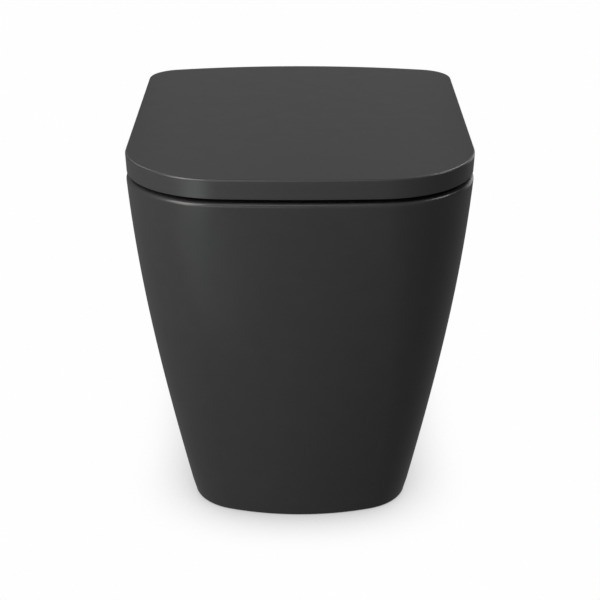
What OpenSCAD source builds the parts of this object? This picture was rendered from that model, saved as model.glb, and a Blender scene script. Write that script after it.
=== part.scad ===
// Back-to-wall floor-standing toilet: a tapered vitreous china pan with a slim wrap-over lid
// and seat on quick-release soft-close hinges. Millimetres, +Z up, the front faces -Y.
// The origin is the middle of the footprint of the whole object, on the floor.

/* [Overall] */
// Width of the pan at its rim, and of the lid
rim_w = 360; // [340:1:380]
// Depth from the front of the lid to the wall
total_d = 520; // [505:1:560]
// Height of the china rim above the floor
rim_h = 395; // [375:1:425]
// Open gap between the rim and the lower edge of the lid
lid_gap = 4.5; // [4:0.1:6]
// Height of the lid at its edge
lid_h = 20.5; // [20:0.1:24]

/* [Pan outside] */
// Width of the foot on the floor
foot_w = 240; // [220:1:260]
// How far the front of the foot stands back from the front of the rim
foot_setback = 83; // [60:1:100]
// Extra bulge of the sides over a straight taper, halfway up
side_bulge = 7.2; // [0:0.1:10]
// How far the bulge of the sides leans towards the rim
bulge_lift = 0.25; // [0:0.05:0.5]
// Extra bulge of the front over a straight taper, halfway up
front_bulge = 5; // [0:0.5:12]
// Corner radius of the rim, in plan
rim_corner_r = 105; // [90:1:120]
// Corner radius of the foot, in plan
foot_corner_r = 61; // [45:1:75]
// Crown radius of the front at the rim, in plan
rim_crown_r = 1400; // [900:10:2000]
// Crown radius of the front at the foot, in plan
foot_crown_r = 240; // [200:5:500]
// Thickness of the china wall
wall = 11; // [9:0.5:13]
// Edge round of the rim
rim_round = 4.5; // [3:0.5:6]

/* [Hinge shelf] */
// How far the shelf behind the bowl is cast below the rim
shelf_drop = 9; // [8:0.5:12]
// Thickness of the china shelf
shelf_t = 14; // [12:0.5:16]
// Length of the soft step from rim down to shelf
step_l = 28; // [20:1:30]

/* [Bowl] */
// Width of the bowl opening at the rim
bowl_w = 284; // [270:1:292]
// China from the front of the rim to the bowl opening
bowl_front = 38; // [34:1:44]
// Length of the bowl opening
bowl_l = 307; // [290:1:315]
// Height of the bottom of the bowl above the floor
bowl_floor = 150; // [140:1:158]
// Thickness of the bowl wall
bowl_wall = 10; // [8:0.5:12]
// Distance of the sump in front of the back of the bowl opening
sump_back = 77; // [75:0.5:79]
// Height of the flush ledge, which runs round the rimless bowl, below the rim
ledge_drop = 70; // [66:1:76]
// Width of the flush ledge
ledge_w = 13; // [8:0.5:15]
// Radius of the hooded outlet that splits the flush over the ledge
hood_r = 30; // [26:0.5:34]

/* [Trap and outlet] */
// Bore of the trapway
trap_bore = 56; // [50:1:60]
// Wall of the trapway
trap_wall = 9; // [7:0.5:10]
// Height of the waste outlet's centre above the floor
outlet_h = 180; // [176:1:186]
// Outside diameter of the waste spigot
outlet_od = 102; // [98:1:106]
// Bore of the waste spigot
outlet_bore = 86; // [80:1:90]
// Length of the straight waste spigot
spigot_l = 48; // [40:1:52]
// Distance from the end of the waste spigot to the wall
spigot_gap = 15; // [8:1:18]

/* [Flush inlet] */
// Height of the flush inlet's centre below the rim
inlet_drop = 60; // [58:1:62]
// Bore of the china inlet socket
inlet_bore = 55; // [52:1:56]
// Depth of the inlet socket
inlet_l = 35; // [30:1:40]
// Distance from the mouth of the inlet socket to the wall
inlet_gap = 25; // [20:1:30]
// Bore of the passage from the socket to the bowl
flush_bore = 34; // [30:1:36]
// Diameter of the flush pipe that the seal takes
flush_pipe_d = 44; // [40:1:46]

/* [Lid and seat] */
// Length of the lid
lid_l = 450; // [440:1:455]
// Thickness of the lid's top
lid_top_t = 3.2; // [2.8:0.1:3.6]
// Thickness of the lid's skirt
skirt_t = 2.8; // [2.4:0.1:3.2]
// Inward draft of the lid's edge over its height
lid_draft = 0.85; // [0.5:0.05:1.2]
// Edge round of the lid's top
lid_round = 2; // [1.2:0.1:2.4]
// Corner radius at the back of the lid, in plan
lid_rear_r = 40; // [30:1:50]
// Crown radius of the back of the lid, in plan
lid_rear_crown_r = 650; // [500:10:1200]
// Thickness of the seat ring
seat_t = 14; // [12:0.5:14.5]
// Gap between the seat ring and the inside of the lid's skirt
seat_inset = 1.7; // [1.2:0.1:3]
// Width of the opening in the seat
seat_hole_w = 226; // [200:1:240]
// Length of the opening in the seat
seat_hole_l = 272; // [250:1:290]
// Width of the seat ring at its front
seat_front = 56; // [50:1:70]
// Corner radius at the back of the seat ring, in plan
seat_rear_r = 50; // [46:1:60]
// Distance of the front pads of lid and seat behind the front of the lid
pad_front = 95; // [70:1:130]
// Distance of the rear pads in front of the back of the bowl opening
pad_rear = 40; // [20:1:60]
// Room in front of a release button for a fingertip
finger_gap = 9; // [7:0.5:12]

/* [Hinges] */
// Distance between the two seat fixing holes
fixing_spacing = 155; // [150:1:160]
// Height of the hinge axis below the lid's top
axis_drop = 11; // [11:0.1:12]
// Distance of the hinge axis in front of the back of the lid
axis_inset = 18; // [17:0.5:20]
// Distance of the hinge posts in front of the hinge axis
post_offset = 29; // [28:0.5:31]
// Radius of the fixed hinge barrel
barrel_r = 6.8; // [6.4:0.1:6.9]
// Width of a hinge block
block_w = 17; // [17:0.5:19]
// Diameter of the hinge pins
pin_d = 6; // [5:0.5:6]
// Diameter of a soft-close damper
damper_d = 10; // [9:0.5:10]
// Length of a soft-close damper
damper_l = 38; // [30:1:40]
// Length of a plain hinge lug
lug_l = 17; // [14:0.5:18]
// Radial running clearance of a hinge pin
run_gap = 0.05; // [0.03:0.01:0.1]
// Travel of a release button
button_travel = 2.5; // [2:0.1:2.8]

/* [Fixings] */
// Diameter of a seat fixing hole through the shelf
fixing_hole_d = 14; // [13:0.5:16]
// Distance between the two floor fixing holes
floor_spacing = 160; // [150:1:170]
// Diameter of a floor fixing hole
floor_hole_d = 9; // [7:0.5:10]
// Height of the side fixing screws above the floor
side_screw_h = 36; // [32:1:42]
// Distance of the side fixing screws from the wall
side_screw_back = 105; // [80:1:130]
// Diameter of a side fixing hole in the china
side_hole_d = 10; // [9:0.5:12]

/* [Hidden] */
$fn = 48;

china = "#3b3c3e";
moulded = "#3f4042";
black_metal = "#2b2c2e";
steel = "#b9bcc0";
rubber = "#232323";
nylon = "#d9d9d4";
brass = "#b59a58";

// Planes and places that the pieces share
front_y = -total_d / 2;
wall_y = total_d / 2;
lid_z0 = rim_h + lid_gap;
lid_z1 = lid_z0 + lid_h;
lid_under = lid_z1 - lid_top_t;
shelf_z = rim_h - shelf_drop;
axis_y = front_y + lid_l - axis_inset;
axis_z = lid_z1 - axis_drop;
inlet_h = rim_h - inlet_drop;
post_y = axis_y - post_offset;
post_x = fixing_spacing / 2;
gasket_t = 1;
flange_t = 3;
flange_r = 13;
flange_clear = 9;
step_y1 = post_y - flange_r - flange_clear;
step_y0 = step_y1 - step_l;
seat_foot = 4;
seat_z0 = rim_h + seat_foot;
seat_z1 = seat_z0 + seat_t;

// Clearances: between pieces, round a button that slides, round the head of a post, in a thread
gap = 0.3;
slide_gap = 0.2;
head_gap = 0.25;
thread_gap = 0.02;
// How far a cut runs past the face that it opens
past = 1;

// Round steps on the lofts
crown_n = 3;
corner_n = 10;
rear_n = 8;
// Points nearer to the centre line than this lie on it
on_line = 0.01;

function mix(a, b, t) = a + (b - a) * t;
function clamp01(t) = max(0, min(1, t));
function smooth(t) = clamp01(t) * clamp01(t) * (3 - 2 * clamp01(t));

// Height that is lost on the way from the rim down to the hinge shelf
function drop(y) = shelf_drop * smooth((y - step_y0) / (step_y1 - step_y0));

// Size of the pan's outside at a height, for a wall that lies `inset` further in
function up(z) = clamp01(z / rim_h);
function half_w(z) = mix(foot_w, rim_w, up(z)) / 2
    + 4 * side_bulge * up(z) * (1 - up(z)) * (1 + bulge_lift * (2 * up(z) - 1));
function setback(z) = foot_setback * (1 - up(z)) - 4 * front_bulge * up(z) * (1 - up(z));
function corner_r(z) = mix(foot_corner_r, rim_corner_r, up(z));
function crown_r(z) = 1 / mix(1 / foot_crown_r, 1 / rim_crown_r, up(z));

// Right half of a front: a crown arc across the middle and a corner arc to the side
function front_half(w, yf, crown, corner) =
    let (cx = w - corner,
         cy = yf + crown - sqrt(pow(crown - corner, 2) - cx * cx),
         turn = asin(cx / (crown - corner)))
    concat([for (i = [0 : crown_n - 1])
                let (a = turn * i / crown_n)
                [crown * sin(a), yf + crown * (1 - cos(a))]],
           [for (i = [0 : corner_n])
                let (a = mix(turn, 90, i / corner_n))
                [cx + corner * sin(a), cy - corner * cos(a)]]);

// Right half of a rounded back: a corner arc and a crown arc to the middle
function back_half(w, yb, crown, corner) =
    let (cx = w - corner,
         cy = yb - crown + sqrt(pow(crown - corner, 2) - cx * cx),
         turn = asin(cx / (crown - corner)))
    concat([for (i = [0 : rear_n])
                let (a = mix(90, turn, i / rear_n))
                [cx + corner * sin(a), cy + corner * cos(a)]],
           [for (i = [crown_n - 1 : -1 : 0])
                let (a = turn * i / crown_n)
                [crown * sin(a), yb - crown * (1 - cos(a))]]);

// Mirrors a right half that starts on the centre line into a closed ring
function ring_of(half) =
    let (last = len(half) - 1, closed = half[last][0] < on_line)
    concat(half, [for (i = [(closed ? last - 1 : last) : -1 : 1]) [-half[i][0], half[i][1]]]);

function lift(ring, z) = [for (p = ring) [p[0], p[1], z]];

// Triangles between each ring and the next, upwards
function side_faces(count, n) =
    [for (k = [0 : count - 2], i = [0 : n - 1])
        let (a = k * n + i, b = k * n + (i + 1) % n)
        each [[a, a + n, b], [b, a + n, b + n]]];

// Triangles that close a ring, in strips from side to side, flat from left to right
function cap_faces(base, n, top) =
    let (pairs = floor((n - 1) / 2),
         faces = concat([for (i = [0 : pairs - 1]) [i, i + 1, n - i - 1]],
                        [for (i = [1 : pairs - 1]) [i, n - i - 1, n - i]],
                        n % 2 == 0 ? [[pairs, pairs + 1, n - pairs]] : []))
    [for (f = faces) top ? [base + f[0], base + f[2], base + f[1]] : [base + f[0], base + f[1], base + f[2]]];

// A closed solid through a stack of like rings
module loft(rings) {
    n = len(rings[0]);
    polyhedron([for (r = rings) each r],
               concat(side_faces(len(rings), n),
                      cap_faces(0, n, false),
                      cap_faces((len(rings) - 1) * n, n, true)));
}

// A round bar along X at the hinge axis
module on_axis(x0, x1, r) {
    translate([min(x0, x1), axis_y, axis_z]) rotate([0, 90, 0]) cylinder(h = abs(x1 - x0), r = r);
}
// Extrudes a profile drawn as [y, z] along X, centred on x
module across(x, width) {
    translate([x - width / 2, 0, 0]) rotate([90, 0, 90]) linear_extrude(width) children();
}
module box(low, high) { translate(low) cube(high - low); }
// Points on an arc about c
function arc(c, r, a0, a1, n) =
    [for (i = [0 : n]) let (a = mix(a0, a1, i / n)) c + r * [cos(a), sin(a)]];

// Places children at both fixing posts, or at one side
module at_side(s) { translate([s * post_x, 0, 0]) children(); }
module both_sides() { for (s = [-1, 1]) at_side(s) children(); }

// Outline of the pan at height z, with the long sides cut where the step bends them
side_stations = [0, step_y0, each [for (i = [1 : 4]) mix(step_y0, step_y1, i / 5)], step_y1];
function pan_half(z, inset, back) =
    concat(front_half(half_w(z) - inset, front_y + setback(z) + inset,
                      crown_r(z) - inset, corner_r(z) - inset),
           [for (y = side_stations) [half_w(z) - inset, y]],
           [[half_w(z) - inset, back]]);

// The step only bends the top of the pan: this share of it reaches a height
step_reach = 70;
function bent(ring, z) =
    [for (p = ring) [p[0], p[1], z - drop(p[1]) * clamp01((z - rim_h + step_reach) / step_reach)]];

foot_round = 3;
pan_levels = 9;
module pan_outside() {
    main = [for (i = [0 : pan_levels]) mix(foot_round, rim_h - rim_round, i / pan_levels)];
    loft(concat(
        [for (a = [0, 45]) let (in = foot_round * (1 - sin(a)))
            bent(ring_of(pan_half(0, in, wall_y)), foot_round * (1 - cos(a)))],
        [for (z = main) bent(ring_of(pan_half(z, 0, wall_y)), z)],
        [for (a = [30, 60, 90]) let (z = rim_h - rim_round * (1 - sin(a)))
            bent(ring_of(pan_half(z, rim_round * (1 - cos(a)), wall_y)), z)]));
}

// The hollow behind the china wall, open to the floor and to the wall
hollow_top = shelf_z - shelf_t;
hollow_levels = 7;
module pan_hollow() {
    loft([for (i = [0 : hollow_levels]) let (z = mix(-past, hollow_top, i / hollow_levels))
        lift(ring_of(pan_half(z, wall, wall_y + past)), z)]);
}

// The bowl narrows from its opening down to the sump over the trap
bowl_back = front_y + bowl_front + bowl_l;
sump_y = bowl_back - sump_back;
bowl_n = 40;
ledge_z = rim_h - ledge_drop;
ledge_soft = 6;
function fall(z) = let (u = clamp01((z - bowl_floor) / (rim_h - bowl_floor))) 1 - (1 - u) * (1 - u);
// How soon the bowl reaches its full width and its back, and how square its plan is, low and high
width_power = 0.8;
back_power = 0.7;
squareness = [2.1, 2.7];
// How far the bowl steps in below the flush ledge, fading out towards the sump
function ledge(z) = ledge_w * smooth((ledge_z + ledge_soft - z) / (2 * ledge_soft))
    * smooth((z - bowl_floor) / (ledge_z - bowl_floor));
function bowl_ring(z, offset) =
    let (f = fall(z),
         grow = offset - ledge(z),
         a = bowl_w / 2 * pow(f, width_power) + grow,
         yf = mix(sump_y, front_y + bowl_front, f) - grow,
         yr = mix(sump_y, bowl_back, pow(f, back_power)) + grow,
         power = 2 / mix(squareness[0], squareness[1], f))
    [for (i = [0 : bowl_n - 1])
        let (t = 360 * i / bowl_n, s = sin(t), c = cos(t))
        [a * sign(s) * pow(abs(s), power), (yf + yr) / 2 - (yr - yf) / 2 * sign(c) * pow(abs(c), power)]];
// Heights of the bowl's sections, close together over the ledge
bowl_rise = 9;
first_rise = 0.35;
rise_power = 1.35;
function bowl_levels(top) = concat(
    [for (i = [0 : bowl_rise])
        mix(bowl_floor, ledge_z - ledge_soft, pow((i + first_rise) / (bowl_rise + first_rise), rise_power))],
    [for (t = [0.25 : 0.25 : 1]) ledge_z + ledge_soft * (2 * t - 1)],
    [mix(ledge_z + ledge_soft, top, 0.5), top]);
module bowl_inside() {
    loft(concat([for (z = bowl_levels(rim_h - rim_round)) lift(bowl_ring(z, 0), z)],
                [for (a = [30, 60, 90]) lift(bowl_ring(rim_h, rim_round * (1 - cos(a))),
                                             rim_h - rim_round * (1 - sin(a)))],
                [lift(bowl_ring(rim_h, rim_round), rim_h + past)]));
}
// The outside of the bowl lies half a wall lower, and a whole wall lower at the bottom
module bowl_outside() {
    levels = bowl_levels(hollow_top + bowl_wall);
    loft([for (z = levels) let (low = 1 - fall(z))
        lift(bowl_ring(z, bowl_wall), z - bowl_wall / 2 * (1 + low * low))]);
}

// Path of the trapway in the centre plane: up from the sump, over the weir, down to the outlet
rise_a = 50;
fall_a = 75;
bend_spare = 2;
bend_r = trap_bore / 2 + trap_wall + bend_spare;
mouth = [sump_y, bowl_floor + trap_bore / 2];
heel = [wall_y - spigot_gap - spigot_l, outlet_h + bend_r];
drop_foot = heel - bend_r * [sin(fall_a), cos(fall_a)];
// The weir's bend touches the rising line through the mouth and the falling line to the heel
rise_k = cos(rise_a) * mouth[1] - sin(rise_a) * mouth[0] - bend_r;
fall_k = cos(fall_a) * drop_foot[1] + sin(fall_a) * drop_foot[0] - bend_r;
weir = [cos(rise_a) * fall_k - cos(fall_a) * rise_k,
        sin(rise_a) * fall_k + sin(fall_a) * rise_k] / sin(rise_a + fall_a);

// Stations along the path, each [y, z, slope]
bend_steps = 6;
function turned(c, r, slope) = [each (c + r * [-sin(slope), cos(slope)]), slope];
trap_path = concat(
    [[each mouth, rise_a]],
    [for (i = [0 : 2 * bend_steps]) turned(weir, bend_r, mix(rise_a, -fall_a, i / (2 * bend_steps)))],
    [for (i = [0 : bend_steps]) turned(heel, -bend_r, mix(-fall_a, 0, i / bend_steps))],
    [[heel[0] + bend_spare, outlet_h, 0]]);
tube_sides = 24;
function tube_ring(p, r) =
    [for (j = [0 : tube_sides - 1])
        let (t = 360 * j / tube_sides)
        [r * cos(t), p[0] + r * sin(t) * sin(p[2]), p[1] - r * sin(t) * cos(p[2])]];
module trapway(r) { loft([for (p = trap_path) tube_ring(p, r)]); }

// A round bar from a to b, both [y, z] in the centre plane
module bar(a, b, r, r2) {
    d = b - a;
    translate([0, a[0], a[1]]) rotate([-90 + atan2(d[1], d[0]), 0, 0])
        cylinder(h = norm(d), r1 = r, r2 = r2);
}
// The waste spigot widens from the trapway's heel
flare_l = 16;
spigot_end = wall_y - spigot_gap;
module spigot(r, r_heel, beyond) {
    bar([heel[0] - flare_l / 2, outlet_h], [heel[0] + flare_l / 2, outlet_h], r_heel, r);
    bar([heel[0] + flare_l / 2, outlet_h], [spigot_end + beyond, outlet_h], r, r);
}
// The flush passage runs from the socket at the back, under the shelf, into the bowl
inlet_end = wall_y - inlet_gap;
module flush_way(r, r_socket, from, before, after) {
    bar([from, inlet_h], [inlet_end - inlet_l, inlet_h], r, r);
    bar([inlet_end - inlet_l - before, inlet_h], [inlet_end + after, inlet_h], r_socket, r_socket);
}

// Cast rib that ties the flush passage to the shelf
web_t = 14;

// Hooded outlet in the back of the bowl: floor, roof and a curved front, open to both sides.
// Its circle lies a little in front of the bowl's back, with a lip in front of the curved front.
hood_t = 6;
hood_lip = 1;
hood_open = 52;
hood_back = 4;
hood_y = bowl_back - hood_back;
hood_head = 3;
hood_top = inlet_h + flush_bore / 2 + hood_head;
module flush_hood() {
    intersection() {
        translate([0, hood_y, 0]) {
            translate([0, 0, ledge_z - hood_t]) cylinder(h = hood_t, r = hood_r);
            translate([0, 0, hood_top]) cylinder(h = hood_t, r = hood_r);
            translate([0, 0, ledge_z - past]) rotate(-90 - hood_open) rotate_extrude(angle = 2 * hood_open)
                translate([hood_r - hood_t - hood_lip, 0]) square([hood_t, hood_top - ledge_z + 2 * past]);
        }
        box([-2 * hood_r, hood_y - hood_r - past, ledge_z - 2 * hood_t],
            [2 * hood_r, bowl_back + hood_back / 2, hood_top + 2 * hood_t]);
    }
}

module pan() {
    color(china) difference() {
        union() {
            difference() {
                pan_outside();
                pan_hollow();
            }
            bowl_outside();
            trapway(trap_bore / 2 + trap_wall);
            spigot(outlet_od / 2, trap_bore / 2 + trap_wall, 0);
            flush_way(flush_bore / 2 + trap_wall, inlet_bore / 2 + trap_wall,
                      bowl_back - bowl_wall, trap_wall, 0);
            box([-web_t / 2, bowl_back, inlet_h], [web_t / 2, inlet_end, hollow_top + past]);
        }
        bowl_inside();
        trapway(trap_bore / 2);
        spigot(outlet_bore / 2, trap_bore / 2, past);
        flush_way(flush_bore / 2, inlet_bore / 2, hood_y - hood_r, 0, past);
        both_sides() translate([0, post_y, hollow_top - past])
            cylinder(h = shelf_t + 2 * past, d = fixing_hole_d);
        for (s = [-1, 1]) at_wall(s) translate([0, 0, -2 * wall]) cylinder(h = 3 * wall, d = side_hole_d);
    }
    color(china) difference() {
        flush_hood();
        flush_way(flush_bore / 2, inlet_bore / 2, hood_y - hood_t, 0, past);
    }
}

// Rubber seal between the china socket and the flush pipe
seal_lip = 6;
seal_flange_r = inlet_bore / 2 + seal_lip;
seal_flange_t = 4;
seal_r = inlet_bore / 2 - slide_gap;
// The seal starts this far in front of the bottom of the socket, and its flange lies on the mouth
seal_start = 1;
seal_seat = seal_start - slide_gap;
rib_depth = 1.2;
rib_crest = 0.7;
ribs = 4;
module flush_inlet_seal() {
    ribbed_l = inlet_l - 2 * seal_start;
    rib_pitch = ribbed_l / ribs;
    flange_y = inlet_l - seal_seat;
    color(rubber) translate([0, inlet_end - inlet_l + seal_start, inlet_h]) rotate([-90, 0, 0])
        rotate_extrude() polygon(concat(
            [[flush_pipe_d / 2, 0]],
            [for (i = [0 : ribs - 1]) each [[seal_r - rib_depth, i * rib_pitch],
                                            [seal_r, (i + rib_crest) * rib_pitch]]],
            [[seal_r - rib_depth, ribbed_l], [seal_r - rib_depth, flange_y],
             [seal_flange_r, flange_y], [seal_flange_r, flange_y + seal_flange_t],
             [flush_pipe_d / 2, flange_y + seal_flange_t]]));
}

// Outline of the lid, for an edge that lies `inset` further in
function lid_half(inset) =
    concat(front_half(rim_w / 2 - inset, front_y + inset, rim_crown_r - inset, rim_corner_r - inset),
           back_half(rim_w / 2 - inset, front_y + lid_l - inset,
                     lid_rear_crown_r - inset, lid_rear_r - inset));
lid_edge = 0.6;
lid_fillet = 3;
module lid_outside() {
    loft(concat(
        [lift(ring_of(lid_half(lid_draft + lid_edge)), lid_z0),
         lift(ring_of(lid_half(lid_draft)), lid_z0 + lid_edge)],
        [for (a = [0, 30, 60, 90])
            lift(ring_of(lid_half(lid_round * (1 - cos(a)))), lid_z1 - lid_round * (1 - sin(a)))]));
}
module lid_inside() {
    loft(concat(
        [lift(ring_of(lid_half(skirt_t + lid_draft)), lid_z0 - past)],
        [for (a = [0, 45, 90])
            lift(ring_of(lid_half(skirt_t + lid_fillet * (1 - cos(a)))),
                 lid_under - lid_fillet * (1 - sin(a)))]));
}

// Where the hinge lugs lie along the axis, outwards from the middle
lug_gap = 0.5;
inner_x1 = post_x - block_w / 2 - lug_gap;
lug_end = 3.5;
inner_x0 = inner_x1 - damper_l - lug_end;
outer_x0 = post_x + block_w / 2 + lug_gap;
outer_x1 = outer_x0 + lug_l;
// A lid lug runs a little way up into the lid's top, and the skirt is cut away behind the lugs
lug_root = 0.7;
lid_lug_r = axis_drop - lid_top_t + lug_root;
seat_lug_r = 7.2;
bay_side = 5;
bay_start = 4;
bay_w = 2 * (outer_x1 + bay_side);
pin_r = pin_d / 2;
pin_end = 2;
damper_key = [3, 1];
damper_fit = 0.1;
// The bore that holds a damper, with its keyway, open towards the block on side s
module damper_bore(s) {
    ends = [s * (inner_x1 + past), s * (inner_x1 - damper_l)];
    on_axis(ends[0], ends[1] - s * damper_fit, damper_d / 2 + damper_fit);
    box([min(ends), axis_y - damper_d / 2 - damper_key[1] - damper_fit,
         axis_z - damper_key[0] / 2 - damper_fit],
        [max(ends), axis_y, axis_z + damper_key[0] / 2 + damper_fit]);
}
module pin_bore(s) {
    on_axis(s * (outer_x0 - past), s * (outer_x1 - pin_end), pin_r + run_gap);
}
module lid() {
    color(moulded) difference() {
        union() {
            difference() {
                lid_outside();
                lid_inside();
                box([-bay_w / 2, axis_y + bay_start, lid_z0 - past], [bay_w / 2, wall_y, lid_under]);
            }
            on_axis(-inner_x1, -inner_x0, lid_lug_r);
            on_axis(outer_x0, outer_x1, lid_lug_r);
        }
        damper_bore(-1);
        pin_bore(1);
    }
}

// Pads under the lid, which rest on the seat
lid_pad_r = 7;
module lid_buffers() {
    color(rubber) for (s = [-1, 1], y = pad_ys)
        translate([s * pad_x, y, seat_z1 + gap]) cylinder(h = lid_under - seat_z1 - gap, r = lid_pad_r);
}

// Outlines of the seat ring and of its opening
seat_w = rim_w / 2 - skirt_t - seat_inset;
seat_yf = front_y + skirt_t + seat_inset;
seat_to_axis = 13;
seat_yb = axis_y - seat_to_axis;
seat_crown_r = 6000;
// The pads lie on the middle of the seat's side limbs, and of the rim
pad_x = (seat_w + seat_hole_w / 2) / 2;
rim_pad_x = (rim_w + bowl_w) / 4;
pad_ys = [front_y + pad_front, bowl_back - pad_rear];
hole_corner_r = 92;
hole_crown_r = 330;
function seat_half(inset) =
    concat(front_half(seat_w - inset, seat_yf + inset, rim_crown_r - inset,
                      rim_corner_r - skirt_t - seat_inset - inset),
           back_half(seat_w - inset, seat_yb - inset, seat_crown_r, seat_rear_r - inset));
function hole_half(outset) =
    concat(front_half(seat_hole_w / 2 + outset, front_y + seat_front - outset,
                      hole_crown_r + outset, hole_corner_r + outset),
           back_half(seat_hole_w / 2 + outset, front_y + seat_front + seat_hole_l + outset,
                     hole_crown_r + outset, hole_corner_r + outset));
function blend(a, b, t) = [for (i = [0 : len(a) - 1]) mix(a[i], b[i], t)];
// Section of the seat ring: [in, up] at its lower outer edge, the crown's radius and the share of
// the width where it is highest, then [in, down] over the sitting edge and [in, up] at its lower edge
seat_edge = [[3, 0], [0.8, 0.8], [0, 2.6]];
crown_edge_r = 5;
crown_top = 0.3;
sitting_edge = [[9, 1], [4, 2.6], [1, 5], [0, 8]];
hole_edge = [[0.5, 1.5], [2, 0]];
// A closed ring of rings: up the outside, over the crown and down into the opening
module seat_form() {
    rings = concat(
        [for (e = seat_edge) lift(ring_of(seat_half(e[0])), seat_z0 + e[1])],
        [for (a = [0, 30, 60])
            lift(ring_of(seat_half(crown_edge_r * (1 - cos(a)))), seat_z1 - crown_edge_r * (1 - sin(a)))],
        [lift(blend(ring_of(seat_half(0)), ring_of(hole_half(0)), crown_top), seat_z1)],
        [for (e = sitting_edge) lift(ring_of(hole_half(e[0])), seat_z1 - e[1])],
        [for (e = hole_edge) lift(ring_of(hole_half(e[0])), seat_z0 + e[1])]);
    n = len(rings[0]);
    count = len(rings);
    polyhedron([for (r = rings) each r],
               [for (f = side_faces(count + 1, n)) [for (i = f) i % (count * n)]]);
}
// A hinge block, from in front of its post to behind it, under the level of the axis
block_ahead = 14;
block_behind = 11;
block_sink = 2;
block_top = axis_z - block_sink;
block_front = post_y - block_ahead;
block_back = post_y + block_behind;
cap_out = button_travel;
pocket_gap = 1;
// The tongue that joins a seat lug to the back of the ring: into the ring, below and above the axis
tongue_in = 8;
tongue_below = 6;
tongue_above = 3.5;
tongue_side = 0.6;
module seat_tongue(x0, x1) {
    box([min(x0, x1), seat_yb - tongue_in, axis_z - tongue_below],
        [max(x0, x1), axis_y, axis_z + tongue_above]);
}
module seat_ring() {
    color(moulded) difference() {
        union() {
            difference() {
                seat_form();
                both_sides()
                    box([-block_w / 2 - pocket_gap, block_front - cap_out - finger_gap, seat_z0 - past],
                        [block_w / 2 + pocket_gap, seat_yb + past, block_top + pocket_gap]);
            }
            on_axis(inner_x0, inner_x1, seat_lug_r);
            on_axis(-outer_x0, -outer_x1, seat_lug_r);
            seat_tongue(inner_x0, inner_x1 - tongue_side);
            seat_tongue(-outer_x0 - tongue_side, -outer_x1);
        }
        damper_bore(1);
        pin_bore(-1);
    }
}

// Pads under the seat, which rest on the rim
seat_pad_r = 9;
seat_pad_draft = 1;
module seat_buffers() {
    color(rubber) for (s = [-1, 1], y = pad_ys) translate([s * rim_pad_x, y, rim_h + slide_gap])
        cylinder(h = seat_foot - slide_gap, r1 = seat_pad_r - seat_pad_draft, r2 = seat_pad_r);
}

// Post that the hinge block clips over: flange, collar, groove for the latch plate, and head
post_z0 = shelf_z + gasket_t;
collar_z0 = post_z0 + flange_t;
flange_draft = 1;
head_r = 4.5;
head_round = 1.5;
groove_r = 2.2;
plate_h = 6.2;
plate_z = collar_z0 + plate_h;
plate_t = 1.6;
block_roof = 3.5;
post_top = block_top - block_roof;
stud_r = 3;
stud_grip = 7;
module hinge_post(s) {
    color(steel) at_side(s) translate([0, post_y, 0]) difference() {
        union() {
            translate([0, 0, post_z0]) cylinder(h = flange_t, r1 = flange_r, r2 = flange_r - flange_draft);
            translate([0, 0, collar_z0]) cylinder(h = plate_h - gap, r = head_r);
            translate([0, 0, collar_z0]) cylinder(h = post_top - collar_z0, r = groove_r);
            translate([0, 0, plate_z + plate_t + gap])
                cylinder(h = post_top - head_round - plate_z - plate_t - gap, r = head_r);
            translate([0, 0, post_top - head_round])
                cylinder(h = head_round, r1 = head_r, r2 = head_r - head_round);
        }
        translate([0, 0, post_z0 - past]) cylinder(h = stud_grip + past, r = stud_r + thread_gap);
    }
}

// Fixed block with the barrel of the hinge: it slides down over the post and latches.
// The cap of its button lies in a recess of its front, before the pocket of the spring.
cap_w = 12;
cap_t = 3.4;
cap_below = 2;
cap_tall = 9;
cap_z0 = plate_z - cap_below;
cap_z1 = cap_z0 + cap_tall;
recess = cap_t + gap;
spring_r = 1.9;
spring_gap = 0.4;
spring_floor = 1.1;
spring_z = plate_z + plate_t + gap + spring_r + spring_floor;
pocket_r = spring_r + spring_gap;
pocket_l = 4.2;
plate_w = 12;
block_round = 3;
neck_start = 2;
neck_sink = 3;
slot_end = 1.6;
module hinge_block(s) {
    profile = concat(
        [[axis_y, axis_z - barrel_r + gap], [axis_y, axis_z + barrel_r - gap],
         [seat_yb + neck_start, block_top]],
        arc([block_front + block_round, block_top - block_round], block_round, 90, 180, 4),
        [[block_front, collar_z0 + gap], [block_back, collar_z0 + gap], [block_back, axis_z - neck_sink]]);
    color(black_metal) at_side(s) difference() {
        union() {
            across(0, block_w) polygon(profile);
            translate([-block_w / 2, axis_y, axis_z]) rotate([0, 90, 0]) cylinder(h = block_w, r = barrel_r);
        }
        translate([0, post_y, collar_z0])
            cylinder(h = post_top + 2 * head_gap - collar_z0, r = head_r + head_gap);
        box([-plate_w / 2 - slide_gap, block_front - past, plate_z - slide_gap],
            [plate_w / 2 + slide_gap, block_back - slot_end, plate_z + plate_t + slide_gap]);
        box([-cap_w / 2 - head_gap, block_front - past, cap_z0 - head_gap],
            [cap_w / 2 + head_gap, block_front + recess, cap_z1 + head_gap]);
        translate([0, block_front, spring_z]) rotate([-90, 0, 0])
            cylinder(h = recess + pocket_l, r = pocket_r);
        translate([-block_w / 2 - past, axis_y, axis_z]) rotate([0, 90, 0])
            cylinder(h = block_w + 2 * past, r = pin_r + thread_gap);
    }
}

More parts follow.
